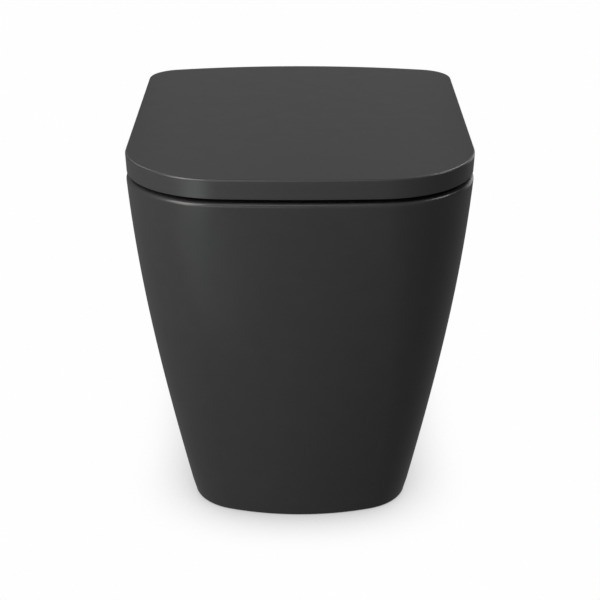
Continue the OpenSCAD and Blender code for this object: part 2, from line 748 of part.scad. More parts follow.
// Push button with its latch plate, whose hole catches the groove of the post
latch_gap = 0.4;
latch_rim = 1.8;
latch_root = 1;
latch_hole_r = head_r + latch_gap;
module release_button(s) {
    cap_back = block_front - cap_out + cap_t;
    color(black_metal) at_side(s) difference() {
        union() {
            box([-cap_w / 2, block_front - cap_out, cap_z0], [cap_w / 2, cap_back, cap_z1]);
            box([-plate_w / 2, cap_back - latch_root, plate_z],
                [plate_w / 2, post_y - button_travel + latch_hole_r + latch_rim, plate_z + plate_t]);
        }
        translate([0, post_y - button_travel, plate_z - past])
            cylinder(h = plate_t + 2 * past, r = latch_hole_r);
    }
}

// Coil spring behind the cap of a button, swept as one tube
wire_r = 0.3;
coils = 5;
coil_steps = 12;
wire_sides = 6;
spring_end = 0.1;
module button_spring(s) {
    length = recess + pocket_l - cap_t + cap_out - 2 * (wire_r + spring_end);
    mid_r = spring_r - wire_r;
    count = coils * coil_steps;
    points = [for (k = [0 : count], j = [0 : wire_sides - 1])
        let (a = 360 * k / coil_steps, b = 360 * j / wire_sides, r = mid_r + wire_r * cos(b))
        [r * cos(a), r * sin(a), length * k / count + wire_r * sin(b)]];
    first = [for (j = [0 : wire_sides - 1]) j];
    last = [for (j = [wire_sides - 1 : -1 : 0]) count * wire_sides + j];
    color(steel) at_side(s)
        translate([0, block_front - cap_out + cap_t + wire_r + spring_end, spring_z]) rotate([-90, 0, 0])
            polyhedron(points, concat(
                [for (k = [0 : count - 1], j = [0 : wire_sides - 1])
                    let (a = k * wire_sides + j, b = k * wire_sides + (j + 1) % wire_sides)
                    each [[a, a + wire_sides, b], [b, a + wire_sides, b + wire_sides]]],
                [for (j = [1 : wire_sides - 2]) each [[first[0], first[j], first[j + 1]],
                                                      [last[0], last[j], last[j + 1]]]]));
}

// Soft-close damper in its lug, and the shaft that ties it to the block
shaft_in = 12;
shaft_end_gap = 0.5;
key_end = 1;
module damper(s) {
    key_x = [s * inner_x1, s * (inner_x1 - damper_l + key_end)];
    color(black_metal) difference() {
        union() {
            on_axis(s * inner_x1, s * (inner_x1 - damper_l), damper_d / 2);
            box([min(key_x), axis_y - damper_d / 2 - damper_key[1], axis_z - damper_key[0] / 2],
                [max(key_x), axis_y - key_end, axis_z + damper_key[0] / 2]);
        }
        on_axis(s * (inner_x1 + past), s * (inner_x1 - shaft_in - shaft_end_gap), pin_r + run_gap);
    }
}
module damper_shaft(s) { color(steel) on_axis(s * (post_x - slide_gap), s * (inner_x1 - shaft_in), pin_r); }
module plain_pin(s) { color(steel) on_axis(s * (post_x + slide_gap), s * (outer_x1 - pin_end - gap), pin_r); }

// Under the hinge posts: gasket, stud, rubber bush that grips below the shelf, and nut
bush_r = fixing_hole_d / 2 - slide_gap;
bush_bulge = 2;
bush_bulge_r = fixing_hole_d / 2 + bush_bulge;
bush_l = 20;
bush_low = 0.5;
nut_t = 7;
nut_r = 8;
stud_below = 5;
gasket_fit = 0.5;
bush_fit = 0.1;
nut_fit = 0.05;
bush_bottom = hollow_top - gap - bush_l;
module post_gaskets() {
    color(rubber) both_sides() translate([0, post_y, shelf_z]) difference() {
        cylinder(h = gasket_t, r = flange_r);
        translate([0, 0, -past]) cylinder(h = gasket_t + 2 * past, r = stud_r + gasket_fit);
    }
}
module fixing_studs() {
    bottom = bush_bottom - nut_t - stud_below;
    color(steel) both_sides() translate([0, post_y, bottom])
        cylinder(h = post_z0 + stud_grip - gap - bottom, r = stud_r);
}
module expansion_bushes() {
    color(rubber) both_sides() translate([0, post_y, 0]) difference() {
        union() {
            translate([0, 0, bush_bottom]) cylinder(h = shelf_z - bush_low - bush_bottom, r = bush_r);
            translate([0, 0, bush_bottom]) cylinder(h = bush_l / 2, r1 = bush_r, r2 = bush_bulge_r);
            translate([0, 0, bush_bottom + bush_l / 2]) cylinder(h = bush_l / 2, r = bush_bulge_r);
        }
        translate([0, 0, bush_bottom - past])
            cylinder(h = shelf_z - bush_bottom + 2 * past, r = stud_r + bush_fit);
    }
}
module fixing_nuts() {
    color(brass) both_sides() translate([0, post_y, bush_bottom - nut_t]) difference() {
        cylinder(h = nut_t, r = nut_r, $fn = 6);
        translate([0, 0, -past]) cylinder(h = nut_t + 2 * past, r = stud_r + nut_fit);
    }
}

// Floor fixing: a screw through each side wall, square to it, into a bracket on the floor
screw_y = wall_y - side_screw_back;
tilt_span = 20;
wall_tilt = atan((half_w(side_screw_h + tilt_span) - half_w(side_screw_h - tilt_span)) / (2 * tilt_span));
screw_r = 4;
screw_l = 32;
screw_end = 4;
screw_out = 1;
bracket_w = 40;
bracket_h = 62;
bracket_t = 5;
bracket_toe = 18;
upright_t = 9;
boss_r = 9;
boss_start = 6;
boss_end = 4;
rib_t = 5;
rib_root = 1;
// Puts local +Z on the outward normal of a side wall, with the origin on its surface
module at_wall(s) {
    mirror([s < 0 ? 1 : 0, 0, 0]) translate([half_w(side_screw_h), screw_y, side_screw_h])
        rotate([0, 90 + wall_tilt, 0]) children();
}
function inner_x(z) = half_w(z) - wall - gap;
module floor_bracket(s) {
    foot_in = floor_spacing / 2 - bracket_toe;
    color(nylon) difference() {
        union() {
            mirror([s < 0 ? 1 : 0, 0, 0]) {
                translate([0, screw_y + bracket_w / 2, 0]) rotate([90, 0, 0]) linear_extrude(bracket_w)
                    polygon([[foot_in, 0], [inner_x(0), 0], [inner_x(bracket_h), bracket_h],
                             [inner_x(bracket_h) - upright_t, bracket_h],
                             [inner_x(bracket_t) - upright_t, bracket_t], [foot_in, bracket_t]]);
                for (y = [screw_y - bracket_w / 2, screw_y + bracket_w / 2 - rib_t])
                    translate([0, y + rib_t, 0]) rotate([90, 0, 0]) linear_extrude(rib_t)
                        polygon([[foot_in, bracket_t - rib_root],
                                 [inner_x(bracket_t) - rib_root, bracket_t - rib_root],
                                 [inner_x(bracket_h) - rib_root, bracket_h]]);
            }
            at_wall(s) translate([0, 0, -wall - screw_l + boss_start])
                cylinder(h = screw_l - boss_start - boss_end, r = boss_r);
        }
        at_wall(s) translate([0, 0, -wall - screw_l]) cylinder(h = screw_l + 2 * past, r = screw_r + run_gap);
        translate([s * floor_spacing / 2, screw_y, -past])
            cylinder(h = bracket_t + 2 * past, d = floor_hole_d);
    }
}
// A hexagon head on a flange, which lies on the china
hex_t = 4;
hex_r = side_hole_d / 2 + 1;
collar_t = 2.5;
collar_r = side_hole_d / 2 + 2.5;
module side_screws() {
    color(steel) for (s = [-1, 1]) at_wall(s) {
        translate([0, 0, -wall - screw_l + screw_end])
            cylinder(h = wall + screw_l - screw_end + screw_out, r = screw_r);
        translate([0, 0, gap]) cylinder(h = collar_t, r = collar_r);
        translate([0, 0, gap]) cylinder(h = hex_t, r = hex_r, $fn = 6);
    }
}
side_cap_r = collar_r + 3.5;
side_cap_h = 7;
side_cap_t = 1.4;
side_cap_round = 3;
module side_screw_caps() {
    color(china) for (s = [-1, 1]) at_wall(s) rotate_extrude() polygon(concat(
        [[side_cap_r - side_cap_t, slide_gap], [side_cap_r, slide_gap]],
        arc([side_cap_r - side_cap_round, side_cap_h - side_cap_round], side_cap_round, 0, 90, 5),
        [[0, side_cap_h], [0, side_cap_h - side_cap_t],
         [side_cap_r - side_cap_round, side_cap_h - side_cap_t],
         [side_cap_r - side_cap_t, side_cap_h - side_cap_round]]));
}

pan();
flush_inlet_seal();
lid();
lid_buffers();
seat_ring();
seat_buffers();
hinge_block(-1);  // hinge_block_left
hinge_block(1);  // hinge_block_right
hinge_post(-1);  // hinge_post_left
hinge_post(1);  // hinge_post_right
release_button(-1);  // release_button_left
release_button(1);  // release_button_right
button_spring(-1);  // button_spring_left
button_spring(1);  // button_spring_right
damper(-1);  // lid_damper
damper_shaft(-1);  // lid_damper_shaft
damper(1);  // seat_damper
damper_shaft(1);  // seat_damper_shaft
plain_pin(1);  // lid_hinge_pin
plain_pin(-1);  // seat_hinge_pin
post_gaskets();
fixing_studs();
expansion_bushes();
fixing_nuts();
floor_bracket(-1);  // floor_bracket_left
floor_bracket(1);  // floor_bracket_right
side_screws();
side_screw_caps();
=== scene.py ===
"""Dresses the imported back-to-wall toilet: a tapered matt china pan under a slim wrap-over lid and seat.

Sizes are in millimetres, as on the maker's drawing, and turn into metres where a mesh is made.
"""

import logging
import math
from collections.abc import Callable, Iterator, Sequence
from contextlib import contextmanager
from dataclasses import dataclass, field
from enum import Enum

import bpy
from mathutils import Euler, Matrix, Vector


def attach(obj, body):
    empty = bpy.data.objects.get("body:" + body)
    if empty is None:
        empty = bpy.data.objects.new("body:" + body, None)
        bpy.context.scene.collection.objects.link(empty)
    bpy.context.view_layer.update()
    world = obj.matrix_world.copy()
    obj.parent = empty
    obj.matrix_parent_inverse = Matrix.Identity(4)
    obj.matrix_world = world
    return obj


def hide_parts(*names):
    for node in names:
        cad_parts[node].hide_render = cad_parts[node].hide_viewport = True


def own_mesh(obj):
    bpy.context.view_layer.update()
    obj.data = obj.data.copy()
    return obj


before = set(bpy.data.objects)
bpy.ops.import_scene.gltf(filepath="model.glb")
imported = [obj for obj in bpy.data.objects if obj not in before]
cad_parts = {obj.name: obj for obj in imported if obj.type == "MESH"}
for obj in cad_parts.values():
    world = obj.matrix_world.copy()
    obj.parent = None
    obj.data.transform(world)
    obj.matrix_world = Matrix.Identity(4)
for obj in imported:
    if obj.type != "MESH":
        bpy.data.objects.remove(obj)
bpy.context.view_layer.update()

LOG = logging.getLogger("toilet")
MM = 0.001
SEAM_MERGE = 1e-6
QUARTER = math.pi / 2.0
# How far a cutter runs past the face that it opens, and a joined solid into the next one
OVER = 1.0
# Edges sharper than these angles are rounded, or stay crisp when a piece is shaded smooth
EASED_ANGLE = math.radians(30.0)
CRISP_ANGLE = math.radians(32.0)

Point = tuple[float, float]
Place = tuple[float, float, float]
Piece = bpy.types.Object
Finish = bpy.types.Material
Nodes = bpy.types.NodeTree
Socket = bpy.types.NodeSocket


class Side(Enum):
    """The two sides of the toilet, as the viewer in front sees them."""

    LEFT = -1
    RIGHT = 1

    def label(self, word: str) -> str:
        """Adds the side to a piece's name."""
        return word + "_" + self.name.lower()


# Small sums


def mix(a: float, b: float, t: float) -> float:
    """Goes from a to b as t goes from 0 to 1."""
    return a + (b - a) * t


def clamp01(t: float) -> float:
    """Limits t to the range 0 to 1."""
    return max(0.0, min(1.0, t))


def smooth(t: float) -> float:
    """Eases t in and out between 0 and 1."""
    t = clamp01(t)
    return t * t * (3.0 - 2.0 * t)


def hump(t: float) -> float:
    """Rises from 0 to 1 and falls back to 0 as t goes from 0 to 1."""
    return 4.0 * t * (1.0 - t)


def signed_power(value: float, power: float) -> float:
    """Raises the size of a value to a power and keeps its sign."""
    return math.copysign(abs(value) ** power, value)


def steps(a: float, b: float, count: int) -> list[float]:
    """Lists count + 1 even steps from a to b."""
    return [mix(a, b, i / count) for i in range(count + 1)]


def turns(count: int) -> list[float]:
    """Lists the angles of count even places round a circle."""
    return steps(0.0, math.tau, count)[:-1]


def rounding(radius: float, count: int, turn: float = QUARTER) -> list[Point]:
    """Goes round the rounded edge of a form, from its side towards its face.

    Args:
        radius: Radius of the edge.
        count: Number of steps.
        turn: How far round the edge the steps go, in radians.

    Returns:
        At each step, how far the surface lies in from the side and back from the face.
    """
    return [(radius * (1.0 - math.cos(a)), radius * (1.0 - math.sin(a))) for a in steps(0.0, turn, count)]


# Modelling helpers


def deselect_all() -> None:
    """Leaves edit mode and clears the selection."""
    if bpy.context.object and bpy.context.object.mode != "OBJECT":
        bpy.ops.object.mode_set(mode="OBJECT")
    bpy.ops.object.select_all(action="DESELECT")


def make_active(piece: Piece) -> None:
    """Selects one piece alone and makes it the active one.

    Args:
        piece: The object that the next operators act on.
    """
    deselect_all()
    piece.select_set(True)
    bpy.context.view_layer.objects.active = piece


@contextmanager
def whole_mesh() -> Iterator[None]:
    """Opens the active piece in edit mode with its whole mesh selected, and leaves edit mode at the end.

    Yields:
        Nothing, while the mesh is open.
    """
    bpy.ops.object.mode_set(mode="EDIT")
    bpy.ops.mesh.select_all(action="SELECT")
    yield
    bpy.ops.object.mode_set(mode="OBJECT")


def named(name: str) -> Piece:
    """Names the active object and puts its place into its mesh.

    Args:
        name: The piece's plain name.

    Returns:
        The active object, at the origin, unturned and unscaled.
    """
    piece = bpy.context.active_object
    piece.name = name
    piece.data.name = name
    make_active(piece)
    bpy.ops.object.transform_apply(location=True, rotation=True, scale=True)
    return piece


def loft(name: str, sections: list[list[Place]], ring: bool = False) -> Piece:
    """Wraps a grid round a stack of like sections and closes its two ends.

    Args:
        name: The piece's plain name.
        sections: Closed outlines with equal point counts.
        ring: Whether the last section joins the first, as on a seat ring.

    Returns:
        A closed solid with its faces pointing outwards.
    """
    around = len(sections[0])
    rows = len(sections)
    spans = rows if ring else rows - 1
    deselect_all()
    bpy.ops.mesh.primitive_grid_add(x_subdivisions=around, y_subdivisions=spans, size=2.0)
    piece = bpy.context.active_object
    for vertex in piece.data.vertices:
        column = round((vertex.co.x + 1.0) / 2.0 * around) % around
        row = round((vertex.co.y + 1.0) / 2.0 * spans) % rows
        vertex.co = Vector(sections[row][column]) * MM
    with whole_mesh():
        bpy.ops.mesh.remove_doubles(threshold=SEAM_MERGE)
        if not ring:
            bpy.ops.mesh.fill_holes(sides=0)
        bpy.ops.mesh.select_all(action="SELECT")
        bpy.ops.mesh.normals_make_consistent(inside=False)
    return named(name)


def bar(name: str, start: Place, end: Place, radius: float, sides: int = 64) -> Piece:
    """Adds a round bar between two points.

    Args:
        name: The piece's plain name.
        start: Centre of one end.
        end: Centre of the other end.
        radius: Radius of the bar.
        sides: Sides of its circle.

    Returns:
        The bar as a closed solid.
    """
    low, high = Vector(start) * MM, Vector(end) * MM
    along = high - low
    deselect_all()
    bpy.ops.mesh.primitive_cylinder_add(vertices=sides, radius=radius * MM, depth=along.length,
                                        location=(low + high) / 2.0,
                                        rotation=along.to_track_quat("Z", "Y").to_euler())
    return named(name)


def block(name: str, low: Place, high: Place, edge: float = 0.0) -> Piece:
    """Adds a block between two corners, with its edges rounded if asked.

    Args:
        name: The piece's plain name.
        low: Lowest corner.
        high: Highest corner.
        edge: Radius of all edges.

    Returns:
        The block as a closed solid.
    """
    a, b = Vector(low) * MM, Vector(high) * MM
    deselect_all()
    bpy.ops.mesh.primitive_cube_add(size=1.0, location=(a + b) / 2.0, scale=b - a)
    piece = named(name)
    if edge:
        with whole_mesh():
            bpy.ops.mesh.bevel(offset=edge * MM, segments=4)
    return piece


def modify(piece: Piece, kind: str, **settings: object) -> None:
    """Puts a modifier on a piece and applies it.

    Args:
        piece: The piece that changes.
        kind: The modifier's type.
        settings: The modifier's own properties.
    """
    make_active(piece)
    change = piece.modifiers.new(kind.lower(), kind)
    for key, value in settings.items():
        setattr(change, key, value)
    bpy.ops.object.modifier_apply(modifier=change.name)


class Join(Enum):
    """How one solid changes another."""

    ADD = "UNION"
    CUT = "DIFFERENCE"


def combine(body: Piece, how: Join, tools: list[Piece]) -> None:
    """Adds solids to a body, or cuts them from it, and removes them.

    Args:
        body: The solid that stays.
        how: Whether the tools are added or cut away.
        tools: The solids that are used up.
    """
    for tool in tools:
        modify(body, "BOOLEAN", operation=how.value, solver="EXACT", object=tool)
        bpy.data.objects.remove(tool, do_unlink=True)


def ease_edges(piece: Piece, width: float) -> None:
    """Rounds the sharp edges of a solid, before its bores are cut."""
    modify(piece, "BEVEL", width=width * MM, segments=3, limit_method="ANGLE", angle_limit=EASED_ANGLE)


def close_seams(piece: Piece) -> None:
    """Closes hairline seams that cuts along one line may leave.

    Args:
        piece: The solid after its cuts.
    """
    make_active(piece)
    with whole_mesh():
        bpy.ops.mesh.fill_holes(sides=0)
        bpy.ops.mesh.select_all(action="SELECT")
        bpy.ops.mesh.dissolve_degenerate(threshold=SEAM_MERGE)


# Finishes


def linear(hex_colour: str) -> tuple[float, float, float, float]:
    """Turns an sRGB hex colour into the linear colour that shaders take.

    Args:
        hex_colour: Six hex digits, such as "3b3c3e".

    Returns:
        Linear red, green and blue, and 1 for alpha.
    """
    parts = [int(hex_colour[i:i + 2], 16) / 255.0 for i in (0, 2, 4)]
    red, green, blue = (p / 12.92 if p <= 0.04045 else ((p + 0.055) / 1.055) ** 2.4 for p in parts)
    return red, green, blue, 1.0


def add_node(tree: Nodes, kind: str, links: dict[str, Socket] | None = None,
             **settings: object) -> bpy.types.Node:
    """Adds one node with its settings and links.

    Args:
        tree: The material's node tree.
        kind: Name of the node type.
        links: Input names and the output sockets that feed them.
        settings: Values of inputs, with _ for a blank, or else of the node's own properties.

    Returns:
        The new node.
    """
    node = tree.nodes.new(kind)
    for key, value in settings.items():
        if key in node.bl_rna.properties and key not in ("inputs", "outputs"):
            setattr(node, key, value)
        else:
            node.inputs[key.replace("_", " ")].default_value = value
    for key, socket in (links or {}).items():
        tree.links.new(socket, node.inputs[key])
    return node


def blank_material(name: str) -> tuple[Finish, Nodes]:
    """Starts a material with an empty node tree.

    Args:
        name: What the finish is called.

    Returns:
        The material and its node tree.
    """
    material = bpy.data.materials.new(name)
    material.use_nodes = True
    material.node_tree.nodes.clear()
    return material, material.node_tree


def pattern_scale(size_mm: float) -> float:
    """Gives the texture scale at which one cell of a pattern is size_mm wide."""
    return 1.0 / (size_mm * MM)


@dataclass(frozen=True)
class Surface:
    """A finish with a mottled colour, an uneven gloss and a fine relief.

    Each pattern is a noise in object space, so it stays with its piece, at a size in millimetres. A grain too
    fine to show in the render is drawn as coarse as it needs to show.
    """

    name: str
    dark: str
    light: str
    mottle_mm: float
    rough: Point
    smear_mm: float
    grain_mm: float
    grain_depth_mm: float
    stretch: Place = (1.0, 1.0, 1.0)
    shader: dict[str, float] = field(default_factory=dict)

    def build(self) -> Finish:
        """Builds the finish's material.

        Returns:
            The material, with all its nodes.
        """
        material, tree = blank_material(self.name)
        here = add_node(tree, "ShaderNodeTexCoord").outputs["Object"]
        turned = add_node(tree, "ShaderNodeMapping", {"Vector": here}, Scale=self.stretch).outputs["Vector"]
        mottle, smear, grain = (
            add_node(tree, "ShaderNodeTexNoise", {"Vector": turned}, Scale=pattern_scale(size), Detail=detail,
                     Roughness=rough).outputs["Fac"]
            for size, detail, rough in ((self.mottle_mm, 4.0, 0.6), (self.smear_mm, 3.0, 0.55),
                                        (self.grain_mm, 2.0, 0.5)))
        colour = add_node(tree, "ShaderNodeMix", {"Factor": mottle}, data_type="RGBA")
        colour.inputs[6].default_value = linear(self.dark)
        colour.inputs[7].default_value = linear(self.light)
        gloss = add_node(tree, "ShaderNodeMapRange", {"Value": smear}, From_Min=0.3, From_Max=0.7,
                         To_Min=self.rough[0], To_Max=self.rough[1])
        relief = add_node(tree, "ShaderNodeBump", {"Height": grain}, Strength=1.0,
                          Distance=self.grain_depth_mm * MM)
        shader = add_node(tree, "ShaderNodeBsdfPrincipled",
                          {"Base Color": colour.outputs[2], "Roughness": gloss.outputs["Result"],
                           "Normal": relief.outputs["Normal"]}, **self.shader)
        add_node(tree, "ShaderNodeOutputMaterial", {"Surface": shader.outputs["BSDF"]})
        return material

    def material(self) -> Finish:
        """Gives the finish's material, built when it is first asked for."""
        return bpy.data.materials.get(self.name) or self.build()


# Vitreous china under a sprayed matt glaze: a soft, even sheen with a slightly cloudy colour
MATT_GLAZE = Surface("matt_anthracite_glaze", "383839", "3f3f40", mottle_mm=18.0, rough=(0.278, 0.298),
                     smear_mm=60.0, grain_mm=0.9, grain_depth_mm=0.0012, shader={"IOR": 1.5})
# Compression-moulded thermoset with a matt spark-eroded skin: even, dry and a touch lighter
MOULDED_RESIN = Surface("moulded_urea_resin", "3c3c3d", "404041", mottle_mm=6.0, rough=(0.28, 0.31),
                        smear_mm=25.0, grain_mm=0.5, grain_depth_mm=0.002, shader={"IOR": 1.52})
# Moulded rubber: dull, slightly dusty
RUBBER = Surface("moulded_rubber", "161616", "222222", mottle_mm=3.0, rough=(0.68, 0.82),
                 smear_mm=6.0, grain_mm=0.4, grain_depth_mm=0.01, shader={"IOR": 1.52})
# Die-cast zinc under satin black powder coat: fine orange peel
POWDER_COAT = Surface("powder_coated_zinc", "1f2022", "27282a", mottle_mm=5.0, rough=(0.38, 0.46),
                      smear_mm=8.0, grain_mm=0.6, grain_depth_mm=0.012, shader={"IOR": 1.5})
# Turned stainless steel: fine level lines, as the lathe leaves them round an upright post
TURNED_STEEL = Surface("turned_stainless_steel", "a9abae", "c3c5c8", mottle_mm=0.6, rough=(0.28, 0.38),
                       smear_mm=2.0, grain_mm=0.25, grain_depth_mm=0.002, stretch=(0.1, 0.1, 4.0),
                       shader={"Metallic": 1.0})
# Spring wire: drawn steel with a light zinc haze
DRAWN_WIRE = Surface("drawn_spring_wire", "9a9ca0", "b4b7bb", mottle_mm=0.5, rough=(0.28, 0.4),
                     smear_mm=1.0, grain_mm=0.2, grain_depth_mm=0.001, shader={"Metallic": 1.0})
# Turned brass: the same level lines under a dull handled skin
TURNED_BRASS = Surface("turned_brass", "a3813b", "c3a055", mottle_mm=1.2, rough=(0.28, 0.42),
                       smear_mm=2.5, grain_mm=0.3, grain_depth_mm=0.002, stretch=(0.1, 0.1, 4.0),
                       shader={"Metallic": 1.0})
# Natural injection-moulded nylon: milky, with faint flow marks
NATURAL_NYLON = Surface("natural_moulded_nylon", "cfcec4", "dddcd3", mottle_mm=14.0, rough=(0.42, 0.52),
                        smear_mm=10.0, grain_mm=0.5, grain_depth_mm=0.004,
                        shader={"IOR": 1.53, "Subsurface_Weight": 0.08})
# Glass-filled nylon: dark, with pale fibre streaks along the flow
FILLED_NYLON = Surface("glass_filled_nylon", "1d1d1e", "2e2e30", mottle_mm=1.5, rough=(0.45, 0.6),
                       smear_mm=4.0, grain_mm=0.4, grain_depth_mm=0.006, stretch=(0.3, 1.0, 1.0),
                       shader={"IOR": 1.53})
# Spark-eroded plastic button: even matt grain that gives a thumb some grip
GRAINED_PLASTIC = Surface("grained_button_plastic", "2b2c2e", "343538", mottle_mm=4.0, rough=(0.5, 0.6),
                          smear_mm=6.0, grain_mm=0.45, grain_depth_mm=0.012, shader={"IOR": 1.5})
# The usual finish of each material slot in the record
SLOTS = {"china": MATT_GLAZE, "moulded_resin": MOULDED_RESIN, "rubber": RUBBER, "black_metal": POWDER_COAT,
         "stainless": TURNED_STEEL, "nut_brass": TURNED_BRASS, "bracket_nylon": NATURAL_NYLON,
         "damper_plastic": FILLED_NYLON, "button_plastic": GRAINED_PLASTIC, "cap_plastic": GRAINED_PLASTIC}


def dress(piece: Piece, body: str, slot: str, node: str, surface: Surface | None = None) -> None:
    """Shades a piece smooth, with flat faces leading at its edges, and gives it its finish, body and node.

    Args:
        piece: The finished solid.
        body: Name of the CAD body that carries it.
        slot: Name of the record's material slot.
        node: The CAD node that the piece replaces.
        surface: The piece's finish, if not the usual one of its slot.
    """
    make_active(piece)
    bpy.ops.object.shade_smooth_by_angle(angle=CRISP_ANGLE)
    modify(piece, "WEIGHTED_NORMAL", mode="FACE_AREA", keep_sharp=True)
    piece.data.materials.clear()
    piece.data.materials.append((surface or SLOTS[slot]).material())
    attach(piece, body)
    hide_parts(node)
    LOG.info("%s rides on %s and replaces %s", piece.name, body, node)


# Outlines of the pan, the lid and the seat


def front_half(width: float, y_front: float, crown: float, corner: float, corner_n: int = 24) -> list[Point]:
    """Draws the right half of a front: a crown arc in the middle and a corner arc to the side.

    Args:
        width: Half the width across the sides.
        y_front: Where the middle of the front lies.
        crown: Radius of the crown arc.
        corner: Radius of the corner arc.
        corner_n: Steps on the corner arc.

    Returns:
        The points, from the middle to the side.
    """
    cx = width - corner
    cy = y_front + crown - math.sqrt((crown - corner) ** 2 - cx * cx)
    turn = math.asin(cx / (crown - corner))
    middle = [(crown * math.sin(a), y_front + crown * (1.0 - math.cos(a))) for a in steps(0.0, turn, 10)]
    return middle[:-1] + [(cx + corner * math.sin(a), cy - corner * math.cos(a))
                          for a in steps(turn, QUARTER, corner_n)]


def back_half(width: float, y_back: float, crown: float, corner: float) -> list[Point]:
    """Draws the right half of a rounded back, from the side to the middle, as a front turned round."""
    return [(x, -y) for x, y in reversed(front_half(width, -y_back, crown, corner, 20))]


def mirrored(half: list[Point]) -> list[Point]:
    """Closes a right half that starts on the centre line with its mirror image."""
    closed = abs(half[-1][0]) < SEAM_MERGE
    return half + [(-x, y) for x, y in reversed(half[1:-1] if closed else half[1:])]


# The hinge line that the pan, the lid and the seat share


@dataclass(frozen=True)
class HingeLine:
    """Where the lugs, pins and dampers lie on the hinge axis, and the posts under it."""

    y: float = 172.0
    z: float = 409.0
    post_x: float = 77.5
    post_y: float = 143.0
    block_w: float = 17.0
    inner: Point = (27.0, 68.5)
    outer: Point = (86.5, 103.5)
    pin_r: float = 3.05
    pin_end: float = 2.0
    damper_r: float = 5.1
    damper_l: float = 38.1
    keyway: Point = (1.6, 6.1)

    def on_axis(self, name: str, x0: float, x1: float, radius: float) -> Piece:
        """Adds a round bar on the hinge axis between two places."""
        return bar(name, (x0, self.y, self.z), (x1, self.y, self.z), radius)

    def damper_bore(self, side: Side) -> list[Piece]:
        """Makes the cutters of a damper's bore and keyway, open towards the hinge block.

        Args:
            side: Side of the toilet that the damper lies on.

        Returns:
            The two cutters.
        """
        mouth, end = side.value * (self.inner[1] + OVER), side.value * (self.inner[1] - self.damper_l)
        half, deep = self.keyway
        return [self.on_axis("damper_bore", mouth, end, self.damper_r),
                block("keyway", (min(mouth, end), self.y - deep, self.z - half),
                      (max(mouth, end), self.y, self.z + half))]

    def pin_bore(self, side: Side) -> Piece:
        """Makes the cutter of a plain pin's bore on one side."""
        return self.on_axis("pin_bore", side.value * (self.outer[0] - OVER),
                            side.value * (self.outer[1] - self.pin_end), self.pin_r)


# The china pan


